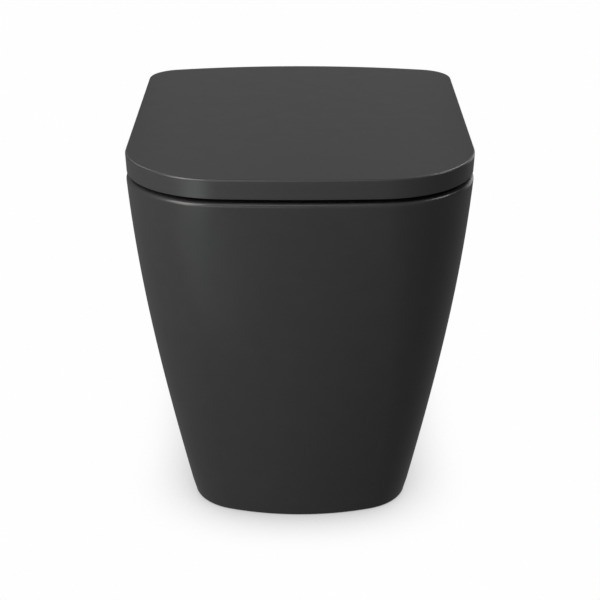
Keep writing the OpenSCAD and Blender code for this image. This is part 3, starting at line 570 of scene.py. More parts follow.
@dataclass
class ChinaPan:
    """One-piece vitreous china pan: shell, hinge shelf, bowl, trapway, spigot and flush socket."""

    hinge: HingeLine
    front_y: float = -260.0
    wall_y: float = 260.0
    rim_h: float = 395.0
    rim_w: float = 360.0
    foot_w: float = 240.0
    foot_setback: float = 83.0
    side_bulge: float = 7.2
    bulge_lift: float = 0.25
    front_bulge: float = 5.0
    rim_corner_r: float = 105.0
    foot_corner_r: float = 61.0
    rim_crown_r: float = 1400.0
    foot_crown_r: float = 240.0
    wall: float = 11.0
    rim_round: float = 4.5
    foot_round: float = 3.0
    back_round: float = 2.0
    hollow_past: float = 0.05
    shelf_drop: float = 9.0
    shelf_t: float = 14.0
    step_y: Point = (93.0, 121.0)
    step_reach: float = 70.0
    bowl_w: float = 284.0
    bowl_front: float = 38.0
    bowl_l: float = 307.0
    bowl_floor: float = 150.0
    bowl_wall: float = 10.0
    bowl_spread: Point = (0.8, 0.7)
    bowl_square: Point = (2.1, 2.7)
    bowl_rows: tuple[int, float, float] = (24, 0.35, 1.35)
    sump_back: float = 77.0
    ledge_drop: float = 70.0
    ledge_w: float = 13.0
    ledge_soft: float = 6.0
    hood_r: float = 30.0
    hood_t: float = 6.0
    hood_lip: float = 1.0
    hood_open: float = 52.0
    hood_back: float = 4.0
    hood_root: float = 2.0
    hood_head: float = 3.0
    trap_bore: float = 56.0
    trap_wall: float = 9.0
    trap_bend: float = 2.0
    trap_end: float = 2.0
    rise_a: float = 50.0
    fall_a: float = 75.0
    outlet_h: float = 180.0
    outlet_od: float = 102.0
    outlet_bore: float = 86.0
    spigot_l: float = 48.0
    spigot_gap: float = 15.0
    flare_l: float = 16.0
    inlet_h: float = 335.0
    inlet_bore: float = 55.0
    inlet_l: float = 35.0
    inlet_gap: float = 25.0
    flush_bore: float = 34.0
    flush_reach: float = 40.0
    web_t: float = 14.0
    fixing_d: float = 14.0
    side_screw: Point = (155.0, 36.0)
    side_span: float = 20.0
    side_hole_d: float = 10.0

    @property
    def bowl_back(self) -> float:
        """Gives where the back of the bowl lies at the rim."""
        return self.front_y + self.bowl_front + self.bowl_l

    @property
    def ledge_z(self) -> float:
        """Gives the height of the flush ledge in the bowl."""
        return self.rim_h - self.ledge_drop

    @property
    def shelf_under(self) -> float:
        """Gives the height of the underside of the hinge shelf."""
        return self.rim_h - self.shelf_drop - self.shelf_t

    def up(self, z: float) -> float:
        """Gives the share of the rim height at z."""
        return clamp01(z / self.rim_h)

    def half_w(self, z: float) -> float:
        """Gives half the outside width at one height, with a bulge that leans towards the rim.

        Args:
            z: Height above the floor.

        Returns:
            Half the width.
        """
        u = self.up(z)
        bulge = self.side_bulge * hump(u) * (1.0 + self.bulge_lift * (2.0 * u - 1.0))
        return mix(self.foot_w, self.rim_w, u) / 2.0 + bulge

    def setback(self, z: float) -> float:
        """Gives how far the front stands back from the front of the rim at height z."""
        u = self.up(z)
        return self.foot_setback * (1.0 - u) - self.front_bulge * hump(u)

    def section(self, z: float, inset: float, back: float, corner_r: float) -> list[Place]:
        """Draws the outline of the pan at one height.

        Args:
            z: Height above the floor.
            inset: How far the outline lies inside the outer surface.
            back: Where the outline ends towards the wall.
            corner_r: Radius of the corners at the wall, below 0 where the sides flare there.

        Returns:
            The closed outline.
        """
        u = self.up(z)
        corner = mix(self.foot_corner_r, self.rim_corner_r, u) - inset
        crown = 1.0 / mix(1.0 / self.foot_crown_r, 1.0 / self.rim_crown_r, u) - inset
        width = self.half_w(z) - inset
        half = front_half(width, self.front_y + self.setback(z) + inset, crown, corner)
        half += [(width, y) for y in steps(half[-1][1], back - abs(corner_r), 10)[1:]]
        half += [(width - math.copysign(inwards, corner_r), back - short)
                 for inwards, short in rounding(abs(corner_r), 4)[1:]]
        return [(x, y, z) for x, y in mirrored(half)]

    def drop(self, y: float) -> float:
        """Gives the height that is lost on the way back to the hinge shelf."""
        return self.shelf_drop * smooth((y - self.step_y[0]) / (self.step_y[1] - self.step_y[0]))

    def outside(self) -> Piece:
        """Lofts the outer form and casts the soft step down to the hinge shelf.

        Returns:
            The solid outer form.
        """
        sections = []
        for z, inset in rounding(self.foot_round, 4):
            foot = self.section(0.0, inset, self.wall_y - inset, self.back_round)
            sections.append([(x, y, z) for x, y, _ in foot])
        levels = [(0.0, z) for z in steps(self.foot_round, self.rim_h - self.rim_round, 28)[1:]]
        levels += [(inset, self.rim_h - down) for inset, down in rounding(self.rim_round, 6)[1:]]
        sections += [self.section(z, inset, self.wall_y - inset, self.back_round) for inset, z in levels]
        form = loft("china_pan", sections)
        with whole_mesh():
            for y in steps(*self.step_y, 12):
                bpy.ops.mesh.bisect(plane_co=(0.0, y * MM, 0.0), plane_no=(0.0, 1.0, 0.0))
                bpy.ops.mesh.select_all(action="SELECT")
        for vertex in form.data.vertices:
            z = vertex.co.z / MM
            reach = clamp01((z - self.rim_h + self.step_reach) / self.step_reach)
            vertex.co.z = (z - self.drop(vertex.co.y / MM) * reach) * MM
        return form

    def hollow(self) -> Piece:
        """Lofts the hollow behind the china wall, open to the floor and flared at the wall.

        Returns:
            The hollow, as a solid.
        """
        back = self.wall_y + self.hollow_past
        return loft("pan_hollow", [self.section(z, self.wall, back, -self.back_round)
                                   for z in steps(-OVER, self.shelf_under, 12)])

    def ledge(self, z: float) -> float:
        """Gives how far the bowl steps in below the flush ledge, fading out towards the sump."""
        under = smooth((self.ledge_z + self.ledge_soft - z) / (2.0 * self.ledge_soft))
        return self.ledge_w * under * smooth((z - self.bowl_floor) / (self.ledge_z - self.bowl_floor))

    def fall(self, z: float) -> float:
        """Gives how far the bowl has opened at height z, from 0 in the sump to 1 at the rim."""
        return 1.0 - (1.0 - clamp01((z - self.bowl_floor) / (self.rim_h - self.bowl_floor))) ** 2

    def bowl_section(self, z: float, offset: float, at: float) -> list[Place]:
        """Draws the outline of the bowl at one height, round in the sump and squarer at the rim.

        Args:
            z: Height whose outline is drawn.
            offset: How far the outline lies outside the bowl's surface.
            at: Height where it is put.

        Returns:
            The closed outline.
        """
        f = self.fall(z)
        grow = offset - self.ledge(z)
        sump = self.bowl_back - self.sump_back
        half = self.bowl_w / 2.0 * f ** self.bowl_spread[0] + grow
        y_front = mix(sump, self.front_y + self.bowl_front, f) - grow
        y_back = mix(sump, self.bowl_back, f ** self.bowl_spread[1]) + grow
        power = 2.0 / mix(*self.bowl_square, f)
        middle, deep = (y_front + y_back) / 2.0, (y_back - y_front) / 2.0
        return [(half * signed_power(math.sin(t), power), middle - deep * signed_power(math.cos(t), power),
                 at) for t in turns(96)]

    def bowl_levels(self, top: float) -> list[float]:
        """Lists the heights of the bowl's sections, close together in the sump and over the flush ledge.

        Args:
            top: Height of the last section.

        Returns:
            The heights, from the sump upwards.
        """
        low, high = self.ledge_z - self.ledge_soft, self.ledge_z + self.ledge_soft
        count, first, crowd = self.bowl_rows
        slope = [mix(self.bowl_floor, low, ((i + first) / (count + first)) ** crowd)
                 for i in range(count + 1)]
        return slope + steps(low, high, 12)[1:] + steps(high, top, 5)[1:]

    def bowl(self) -> Piece:
        """Lofts the inside of the bowl, with the rounded edge of its opening.

        Returns:
            The inside, as a solid.
        """
        sections = [self.bowl_section(z, 0.0, z) for z in self.bowl_levels(self.rim_h - self.rim_round)]
        sections += [self.bowl_section(self.rim_h, grow, self.rim_h - down)
                     for grow, down in rounding(self.rim_round, 5)[1:]]
        sections.append(self.bowl_section(self.rim_h, self.rim_round, self.rim_h + OVER))
        return loft("bowl", sections)

    def bowl_outside(self) -> Piece:
        """Lofts the outside of the bowl, half a wall lower than its inside and more at the bottom.

        Returns:
            The outside, as a solid.
        """
        sections = []
        for z in self.bowl_levels(self.shelf_under + self.bowl_wall):
            lower = self.bowl_wall / 2.0 * (1.0 + (1.0 - self.fall(z)) ** 2)
            sections.append(self.bowl_section(z, self.bowl_wall, z - lower))
        return loft("bowl_outside", sections)

    def flush_hood(self) -> list[Piece]:
        """Casts the hooded outlet at the back of the bowl: floor, roof and a curved front.

        Returns:
            The three solids of the hood, cut off inside the bowl's wall.
        """
        centre_y = self.bowl_back - self.hood_back
        roof_z = self.inlet_h + self.flush_bore / 2.0 + self.hood_head
        parts = [bar(name, (0.0, centre_y, z), (0.0, centre_y, z + self.hood_t), self.hood_r, 96)
                 for name, z in (("hood_floor", self.ledge_z - self.hood_t), ("hood_roof", roof_z))]
        far, near = self.hood_r - self.hood_lip, self.hood_r - self.hood_lip - self.hood_t
        low, high = self.ledge_z - OVER, roof_z + OVER
        front = []
        for angle in steps(-self.hood_open, self.hood_open, 24):
            a = math.radians(angle)
            front.append([(r * math.sin(a), centre_y - r * math.cos(a), z)
                          for r, z in ((near, low), (far, low), (far, high), (near, high))])
        parts.append(loft("hood_front", front))
        reach = 2.0 * self.hood_r
        for part in parts:
            combine(part, Join.CUT, [
                block("hood_end", (-reach, self.bowl_back + self.hood_root, self.ledge_z - self.hood_r),
                      (reach, self.bowl_back + reach, roof_z + self.hood_r))])
        return parts

    def side_line(self, side: Side) -> tuple[Vector, Vector]:
        """Gives where a side screw meets the outer surface, and the way out, square to the sloping wall.

        Args:
            side: Side of the toilet.

        Returns:
            The place and the direction.
        """
        y, z = self.side_screw
        rise = self.half_w(z + self.side_span) - self.half_w(z - self.side_span)
        tilt = math.atan(rise / (2.0 * self.side_span))
        return (Vector((side.value * self.half_w(z), y, z)),
                Vector((side.value * math.cos(tilt), 0.0, -math.sin(tilt))))

    def side_hole(self, side: Side) -> Piece:
        """Makes the cutter of a side fixing hole.

        Args:
            side: Side of the toilet.

        Returns:
            The cutter.
        """
        middle, out = self.side_line(side)
        return bar("side_hole", tuple(middle - 2.0 * self.wall * out), tuple(middle + self.wall * out),
                   self.side_hole_d / 2.0)

    def trapway(self, radius: float) -> Piece:
        """Sweeps the trapway: up from the sump, over the weir and down to the outlet.

        Args:
            radius: Radius of the tube.

        Returns:
            The swept solid.
        """
        rise, fall = math.radians(self.rise_a), math.radians(self.fall_a)
        bend = self.trap_bore / 2.0 + self.trap_wall + self.trap_bend
        mouth = Vector((self.bowl_back - self.sump_back, self.bowl_floor + self.trap_bore / 2.0))
        heel = Vector((self.wall_y - self.spigot_gap - self.spigot_l, self.outlet_h + bend))
        foot = heel - bend * Vector((math.sin(fall), math.cos(fall)))
        rise_k = math.cos(rise) * mouth.y - math.sin(rise) * mouth.x - bend
        fall_k = math.cos(fall) * foot.y + math.sin(fall) * foot.x - bend
        weir = Vector((math.cos(rise) * fall_k - math.cos(fall) * rise_k,
                       math.sin(rise) * fall_k + math.sin(fall) * rise_k)) / math.sin(rise + fall)
        path = [(mouth, rise)]
        path += [(weir + bend * Vector((-math.sin(a), math.cos(a))), a) for a in steps(rise, -fall, 22)]
        path += [(heel - bend * Vector((-math.sin(a), math.cos(a))), a) for a in steps(-fall, 0.0, 12)]
        path.append((Vector((heel.x + self.trap_end, self.outlet_h)), 0.0))
        return loft("trapway", [[(radius * math.cos(t), centre.x + radius * math.sin(t) * math.sin(slope),
                                  centre.y - radius * math.sin(t) * math.cos(slope)) for t in turns(48)]
                                for centre, slope in path])

    def spigot(self, radius: float, heel_r: float, beyond: float) -> Piece:
        """Turns the waste spigot, which widens from the trapway's heel.

        Args:
            radius: Radius at the mouth.
            heel_r: Radius at the heel.
            beyond: How far the solid runs past the mouth.

        Returns:
            The turned solid.
        """
        heel = self.wall_y - self.spigot_gap - self.spigot_l
        ends = [(heel - self.flare_l / 2.0, heel_r), (heel + self.flare_l / 2.0, radius),
                (self.wall_y - self.spigot_gap + beyond, radius)]
        return loft("spigot", [[(r * math.cos(t), y, self.outlet_h + r * math.sin(t)) for t in turns(72)]
                               for y, r in ends])

    def flush_way(self, radius: float, socket_r: float, start: float, before: float,
                  after: float) -> list[Piece]:
        """Adds the bars of the flush passage and of its socket.

        Args:
            radius: Radius of the passage.
            socket_r: Radius of the socket.
            start: Where the passage starts, in the bowl's back wall.
            before: How much earlier than its seat the socket starts.
            after: How far the socket runs past its mouth.

        Returns:
            The two bars.
        """
        z, mouth = self.inlet_h, self.wall_y - self.inlet_gap
        seat = mouth - self.inlet_l
        return [bar("flush_passage", (0.0, start, z), (0.0, seat + OVER, z), radius),
                bar("flush_socket", (0.0, seat - before, z), (0.0, mouth + after, z), socket_r)]

    def build(self) -> None:
        """Casts the pan as one piece."""
        back, low, trap_r = self.bowl_back, self.shelf_under, self.trap_bore / 2.0
        flush_r, inlet_r, t = self.flush_bore / 2.0, self.inlet_bore / 2.0, self.trap_wall
        pan = self.outside()
        combine(pan, Join.CUT, [self.hollow()])
        combine(pan, Join.ADD, [
            self.bowl_outside(), self.trapway(trap_r + t), self.spigot(self.outlet_od / 2.0, trap_r + t, 0.0),
            *self.flush_way(flush_r + t, inlet_r + t, back - self.bowl_wall, t, 0.0),
            block("shelf_web", (-self.web_t / 2.0, back, self.inlet_h),
                  (self.web_t / 2.0, self.wall_y - self.inlet_gap, low + OVER))])
        holes = [bar("fixing_hole", (side.value * self.hinge.post_x, self.hinge.post_y, low - OVER),
                     (side.value * self.hinge.post_x, self.hinge.post_y, low + self.shelf_t + OVER),
                     self.fixing_d / 2.0) for side in Side]
        combine(pan, Join.CUT, [
            self.bowl(), self.trapway(trap_r), self.spigot(self.outlet_bore / 2.0, trap_r, OVER),
            *self.flush_way(flush_r, inlet_r, back - self.flush_reach, 0.0, OVER),
            *holes, *[self.side_hole(side) for side in Side]])
        combine(pan, Join.ADD, self.flush_hood())
        start = back - self.hood_back - self.hood_t
        combine(pan, Join.CUT, self.flush_way(flush_r, inlet_r, start, 0.0, OVER))
        close_seams(pan)
        dress(pan, "pan", "china", "pan")


# The lid and the seat


@dataclass
class WrapOverLid:
    """Slim lid whose skirt wraps over the seat, cut away at the back over the hinges."""

    hinge: HingeLine
    half_w: float = 180.0
    front_y: float = -260.0
    length: float = 450.0
    low_z: float = 399.5
    high_z: float = 420.0
    top_t: float = 3.2
    skirt_t: float = 2.8
    draft: float = 0.85
    edge_round: float = 2.0
    lip: float = 0.6
    fillet: float = 3.0
    front_crown: float = 1400.0
    front_corner: float = 105.0
    rear_crown: float = 650.0
    rear_corner: float = 40.0
    lug_r: float = 8.5
    bay_w: float = 217.0
    bay_y: Point = (4.0, 40.0)

    def section(self, inset: float, z: float) -> list[Place]:
        """Draws the lid's outline at one height.

        Args:
            inset: How far the outline lies inside the lid's largest outline.
            z: Height of the outline.

        Returns:
            The closed outline.
        """
        width = self.half_w - inset
        half = front_half(width, self.front_y + inset, self.front_crown - inset, self.front_corner - inset)
        rear = back_half(width, self.front_y + self.length - inset, self.rear_crown - inset,
                         self.rear_corner - inset)
        side = [(width, y) for y in steps(half[-1][1], rear[0][1], 8)[1:-1]]
        return [(x, y, z) for x, y in mirrored(half + side + rear)]

    def outside(self) -> Piece:
        """Lofts the outer form, with a small lip at the bottom and a rounded top edge.

        Returns:
            The solid outer form.
        """
        sections = [self.section(self.draft + inset, self.low_z + up) for up, inset in rounding(self.lip, 3)]
        low, high = self.low_z + self.lip, self.high_z - self.edge_round
        sections += [self.section(mix(self.draft, 0.0, t), mix(low, high, t)) for t in (0.25, 0.5, 0.75)]
        sections += [self.section(inset, self.high_z - down) for inset, down in rounding(self.edge_round, 8)]
        return loft("slim_lid", sections)

    def inside(self) -> Piece:
        """Lofts the space under the lid.

        Returns:
            The space, as a solid.
        """
        under = self.high_z - self.top_t
        sections = [self.section(self.skirt_t + self.draft, self.low_z - OVER)]
        sections += [self.section(self.skirt_t + inset, under - down)
                     for inset, down in rounding(self.fillet, 6)]
        return loft("lid_inside", sections)

    def build(self) -> None:
        """Moulds the lid with its two hinge lugs."""
        line, half = self.hinge, self.bay_w / 2.0
        lid = self.outside()
        combine(lid, Join.CUT, [self.inside(), block(
            "hinge_bay", (-half, line.y + self.bay_y[0], self.low_z - OVER),
            (half, line.y + self.bay_y[1], self.high_z - self.top_t))])
        combine(lid, Join.ADD, [line.on_axis("damper_lug", -line.inner[1], -line.inner[0], self.lug_r),
                                line.on_axis("plain_lug", line.outer[0], line.outer[1], self.lug_r)])
        combine(lid, Join.CUT, [*line.damper_bore(Side.LEFT), line.pin_bore(Side.RIGHT)])
        dress(lid, "lid", "moulded_resin", "lid")


@dataclass
class SeatRing:
    """Crowned seat ring with pockets for the hinge blocks and two lugs on tongues.

    The foot gives how far in and up each outline of the lower outer edge lies. The crown then falls to the
    opening, in steps out from it and down from the top, and the heel rounds the opening's lower edge.
    """

    hinge: HingeLine
    half_w: float = 175.5
    front_y: float = -255.5
    back_y: float = 159.0
    low_z: float = 399.0
    high_z: float = 413.0
    front_crown: float = 1400.0
    front_corner: float = 100.5
    rear_crown: float = 6000.0
    rear_corner: float = 50.0
    hole_half_w: float = 113.0
    hole_y: Point = (-204.0, 68.0)
    hole_crown: float = 330.0
    hole_corner: float = 92.0
    foot: tuple[Point, ...] = ((3.0, 0.0), (0.8, 0.8), (0.0, 2.6))
    crown_r: float = 5.0
    crown_turn: float = 75.0
    crown: tuple[Point, ...] = ((14.0, 0.45), (9.0, 1.0), (6.0, 1.75), (4.0, 2.6), (2.2, 3.8), (1.0, 5.0),
                                (0.2, 6.6), (0.0, 8.0))
    heel: tuple[Point, ...] = ((0.5, 1.5), (1.0, 0.6), (2.0, 0.0))
    lug_r: float = 7.2
    pocket_gap: float = 1.0
    pocket_y: float = 117.5
    pocket_top: float = 408.0
    tongue_root: float = 8.0
    tongue_z: Point = (-6.0, 3.5)
    tongue_short: float = 0.6

    def rim(self, inset: float, z: float) -> list[Place]:
        """Draws the seat's outer outline at one height.

        Args:
            inset: How far the outline lies inside the largest one.
            z: Height of the outline.

        Returns:
            The closed outline.
        """
        width = self.half_w - inset
        half = front_half(width, self.front_y + inset, self.front_crown - inset, self.front_corner - inset)
        rear = back_half(width, self.back_y - inset, self.rear_crown, self.rear_corner - inset)
        return [(x, y, z) for x, y in mirrored(half + rear)]

    def hole(self, outset: float, z: float) -> list[Place]:
        """Draws the outline of the seat's opening at one height.

        Args:
            outset: How far the outline lies outside the smallest one.
            z: Height of the outline.

        Returns:
            The closed outline.
        """
        width, crown, corner = (r + outset for r in (self.hole_half_w, self.hole_crown, self.hole_corner))
        half = front_half(width, self.hole_y[0] - outset, crown, corner)
        rear = back_half(width, self.hole_y[1] + outset, crown, corner)
        return [(x, y, z) for x, y in mirrored(half + rear)]

    def form(self) -> Piece:
        """Lofts the ring: up the outside, over the crown and down into the opening.

        Returns:
            The ring.
        """
        sections = [self.rim(inset, self.low_z + up) for inset, up in self.foot]
        sections += [self.rim(inset, self.high_z - down)
                     for inset, down in rounding(self.crown_r, 5, math.radians(self.crown_turn))]
        edge, opening = self.rim(0.0, self.high_z), self.hole(0.0, self.high_z)
        sections += [[tuple(mix(a, b, t) for a, b in zip(p, q)) for p, q in zip(edge, opening)]
                     for t in (0.15, 0.3, 0.5)]
        sections += [self.hole(outset, self.high_z - down) for outset, down in self.crown]
        sections += [self.hole(outset, self.low_z + up) for outset, up in self.heel]
        return loft("seat_ring_moulding", sections, ring=True)

    def build(self) -> None:
        """Moulds the seat ring with its lugs."""
        line = self.hinge
        seat = self.form()
        reach = line.block_w / 2.0 + self.pocket_gap
        combine(seat, Join.CUT, [
            block("block_pocket", (side.value * line.post_x - reach, self.pocket_y, self.low_z - OVER),
                  (side.value * line.post_x + reach, self.back_y + OVER, self.pocket_top)) for side in Side])
        lugs = []
        root, (low, high) = self.back_y - self.tongue_root, self.tongue_z
        for name, x0, x1 in (("damper", *line.inner), ("plain", -line.outer[1], -line.outer[0])):
            lugs.append(line.on_axis(name + "_lug", x0, x1, self.lug_r))
            lugs.append(block(name + "_tongue", (x0, root, line.z + low),
                              (x1 - self.tongue_short, line.y, line.z + high)))
        combine(seat, Join.ADD, lugs)
        combine(seat, Join.CUT, [*line.damper_bore(Side.RIGHT), line.pin_bore(Side.LEFT)])
        dress(seat, "seat", "moulded_resin", "seat_ring")


# Turned and threaded pieces

# Outlines in each turn of a thread, and the slope of its flanks: at 1 they would meet in sharp crests
THREAD_ROWS = 8.0
THREAD_SLOPE = 1.3


@dataclass(frozen=True)
class Axis:
    """A line that round pieces are turned about, with distances measured along it from its start."""

    start: Place
    towards: Place
    sides: int = 72

    def outline(self, along: float, radius: Callable[[float], float]) -> list[Place]:
        """Draws an outline square to the line.

        Args:
            along: Distance along the line.
            radius: Gives the radius at an angle.

        Returns:
            The closed outline.
        """
        axis = Vector(self.towards).normalized()
        across = axis.orthogonal().normalized()
        beside = axis.cross(across)
        centre = Vector(self.start) + along * axis
        return [tuple(centre + radius(t) * (math.cos(t) * across + math.sin(t) * beside))
                for t in turns(self.sides)]

    def circle(self, radius: float, along: float) -> list[Place]:
        """Draws a circle round the line."""
        return self.outline(along, lambda t: radius)

    def hexagon(self, corner: float, along: float, limit: float) -> list[Place]:
        """Draws a hexagon round the line, with its corners turned down to a limit."""
        flat = corner * math.cos(math.pi / 6.0)
        return self.outline(along, lambda t: min(limit, flat / math.cos(t % (math.pi / 3.0) - math.pi / 6.0)))

    def thread(self, crest: float, depth: float, pitch: float, start: float, end: float) -> list[list[Place]]:
        """Draws the outlines of a screw thread that runs out at both ends.

        Args:
            crest: Radius over the crests.
            depth: Depth of the thread.
            pitch: Distance from one turn to the next.
            start: Where the thread starts along the line.
            end: Where it ends.

        Returns:
            The outlines, one after another along the line.
        """
        rows = []
        for along in steps(start, end, round(THREAD_ROWS * (end - start) / pitch)):
            share = min(1.0, (along - start) / pitch, (end - along) / pitch)

            def ridge(t: float, along: float = along, share: float = share) -> float:
                """Gives the radius at an angle: flat crests, and straight flanks that meet at the roots.

                Args:
                    t: Angle round the line.
                    along: Distance of the outline along the line.
                    share: How much of its full depth the thread has there.

                Returns:
                    The radius.
                """
                turn = (along / pitch - t / math.tau) % 1.0
                flank = THREAD_SLOPE * (1.0 - abs(2.0 * turn - 1.0))
                return crest - depth * (1.0 - share * min(1.0, flank))

            rows.append(self.outline(along, ridge))
        return rows

    def turn(self, name: str, profile: Sequence[Point], hollow: bool = False) -> Piece:
        """Turns a profile about the line, as on a lathe.

        Args:
            name: The piece's plain name.
            profile: Radius and distance along the line of each point.
            hollow: Whether the profile goes up the outside and back down a bore.

        Returns:
            The closed solid.
        """
        return loft(name, [self.circle(radius, along) for radius, along in profile], ring=hollow)


# The hinges


@dataclass
class QuickRelease:
    """One side's clip-on hinge: a post on the china, and a block with a sprung button that latches on it.

    The post's profile gives radius and height over its foot: bore and flange, then the shank, which starts,
    meets the latch groove, leaves it and ends at the four heights, and the head.
    """

    line: HingeLine
    side: Side
    post_foot: float = 387.0
    post_r: float = 4.5
    post_flange: tuple[Point, ...] = ((3.02, 7.0), (3.02, 0.5), (3.5, 0.0), (12.5, 0.0), (12.83, 0.4),
                                      (12.2, 2.4), (11.6, 3.0))
    post_z: tuple[float, ...] = (3.0, 8.6, 11.4, 15.0)
    post_groove: tuple[Point, ...] = ((4.2, 8.9), (2.5, 8.9), (2.2, 9.2), (2.2, 10.8), (2.5, 11.1),
                                      (4.2, 11.1))
    post_head: Point = (3.0, 16.5)
    bore_gap: float = 0.25
    bore_top: float = 404.0
    block_low: float = 390.3
    block_high: float = 407.0
    block_y: Point = (129.0, 154.0)
    block_round: float = 3.0
    neck_y: float = 161.0
    neck_drop: float = 3.0
    neck_in: float = 0.3
    barrel_r: float = 6.8
    barrel_chamfer: float = 0.4
    axis_bore_r: float = 3.02
    edge: float = 0.5
    plate_z: float = 396.2
    plate_t: float = 1.6
    plate_half: float = 6.0
    plate_end: float = 147.2
    plate_edge: float = 0.25
    slide_gap: float = 0.2
    slot_back: float = 1.6
    cap_z: Point = (394.2, 403.2)
    cap_y: Point = (126.5, 129.9)
    cap_back: float = 132.7
    cap_edge: float = 0.6
    travel: float = 2.5
    latch_r: float = 4.9
    rib_r: float = 0.5
    rib_in: Point = (1.4, 2.1)
    spring_z: float = 401.1
    spring_end: float = 136.9
    spring_r: float = 1.6
    pocket_r: float = 2.3
    wire_r: float = 0.3
    closed_pitch: float = 2.1
    spring_gap: float = 0.1
    coils: int = 6

    @property
    def x(self) -> float:
        """Gives where the hinge lies across the toilet."""
        return self.side.value * self.line.post_x

    def post(self) -> None:
        """Turns the post: flange, collar, latch groove and chamfered head over a threaded bore."""
        foot, low, high, top = ((self.post_r, z) for z in self.post_z)
        post = Axis((self.x, self.line.post_y, self.post_foot), (0.0, 0.0, 1.0)).turn(
            self.side.label("turned_post"),
            [*self.post_flange, foot, low, *self.post_groove, high, top, self.post_head])
        dress(post, "pan", "stainless", self.side.label("hinge_post"))

    def hinge_block(self) -> None:
        """Casts the block with its barrel, and machines the bores, the latch slot and the button recess."""
        x, line, (front, back) = self.x, self.line, self.block_y
        half, c = line.block_w / 2.0, self.barrel_chamfer
        top = self.barrel_r - self.neck_in
        profile = [(line.y, line.z - top), (line.y, line.z + top), (self.neck_y, self.block_high)]
        profile += [(front + inwards, self.block_high - down)
                    for down, inwards in rounding(self.block_round, 8)]
        profile += [(front, self.block_low), (back, self.block_low), (back, line.z - self.neck_drop)]
        body = loft(self.side.label("cast_block"),
                    [[(x + dx, y, z) for y, z in profile] for dx in (-half, half)])
        barrel = Axis((x - half, line.y, line.z), (1.0, 0.0, 0.0)).turn("barrel", [
            (self.barrel_r - c, 0.0), (self.barrel_r, c), (self.barrel_r, 2.0 * half - c),
            (self.barrel_r - c, 2.0 * half)])
        ease_edges(body, self.edge)
        combine(body, Join.ADD, [barrel])
        slot, cap, sprung = self.plate_half + self.slide_gap, self.plate_half + self.bore_gap, self.spring_z
        combine(body, Join.CUT, [
            bar("post_bore", (x, line.post_y, self.block_low - OVER), (x, line.post_y, self.bore_top),
                self.post_r + self.bore_gap),
            block("latch_slot", (x - slot, front - OVER, self.plate_z - self.slide_gap),
                  (x + slot, back - self.slot_back, self.plate_z + self.plate_t + self.slide_gap)),
            block("button_recess", (x - cap, front - OVER, self.cap_z[0] - self.bore_gap),
                  (x + cap, self.cap_back, self.cap_z[1] + self.bore_gap)),
            bar("spring_pocket", (x, front, sprung), (x, self.spring_end, sprung), self.pocket_r),
            line.on_axis("axis_bore", x - half - OVER, x + half + OVER, self.axis_bore_r)])
        dress(body, "pan", "black_metal", self.side.label("hinge_block"))

    def button(self) -> None:
        """Moulds the button: a rounded cap with grip ribs, and the latch plate behind it."""
        x, half, (low, high), (front, back) = self.x, self.plate_half, self.cap_z, self.cap_y
        face, top, (end, gap) = front + self.rib_r, self.plate_z + self.plate_t, self.rib_in
        cap = block(self.side.label("push_button"), (x - half, face, low), (x + half, back, high),
                    self.cap_edge)
        ribs = [bar("grip_rib", (x - half + end, face, z), (x + half - end, face, z), self.rib_r, 24)
                for z in steps(low + gap, high - gap, 3)]
        plate = block("latch_plate", (x - half, back - OVER, self.plate_z), (x + half, self.plate_end, top),
                      self.plate_edge)
        combine(cap, Join.ADD, [*ribs, plate])
        hole_y = self.line.post_y - self.travel
        combine(cap, Join.CUT, [bar("latch_hole", (x, hole_y, self.plate_z - OVER), (x, hole_y, top + OVER),
                                    self.latch_r)])
        dress(cap, "button_" + self.side.name.lower(), "button_plastic",
              self.side.label("release_button"))

    def spring(self) -> None:
        """Winds the button's spring, with a closed coil at each end."""
        start = self.cap_y[1] + self.wire_r + self.spring_gap
        end = self.spring_end - self.wire_r - self.spring_gap
        closed = self.closed_pitch * self.wire_r
        pitch = (end - start - 2.0 * closed) / (self.coils - 2)
        sections = []
        for turn in steps(0.0, float(self.coils), 32 * self.coils):
            open_turns = max(0.0, min(turn - 1.0, self.coils - 2.0))
            y = start + open_turns * pitch + (turn - open_turns) * closed
            a = math.tau * turn
            sections.append([(self.x + (self.spring_r + self.wire_r * math.cos(b)) * math.cos(a),
                              y + self.wire_r * math.sin(b),
                              self.spring_z + (self.spring_r + self.wire_r * math.cos(b)) * math.sin(a))
                             for b in turns(12)])
        wire = loft(self.side.label("coil_spring"), sections)
        dress(wire, "pan", "stainless", self.side.label("button_spring"), DRAWN_WIRE)
        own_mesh(wire)

    def build(self) -> None:
        """Makes the post, the block, the button and the spring."""
        self.post()
        self.hinge_block()
        self.button()
        self.spring()


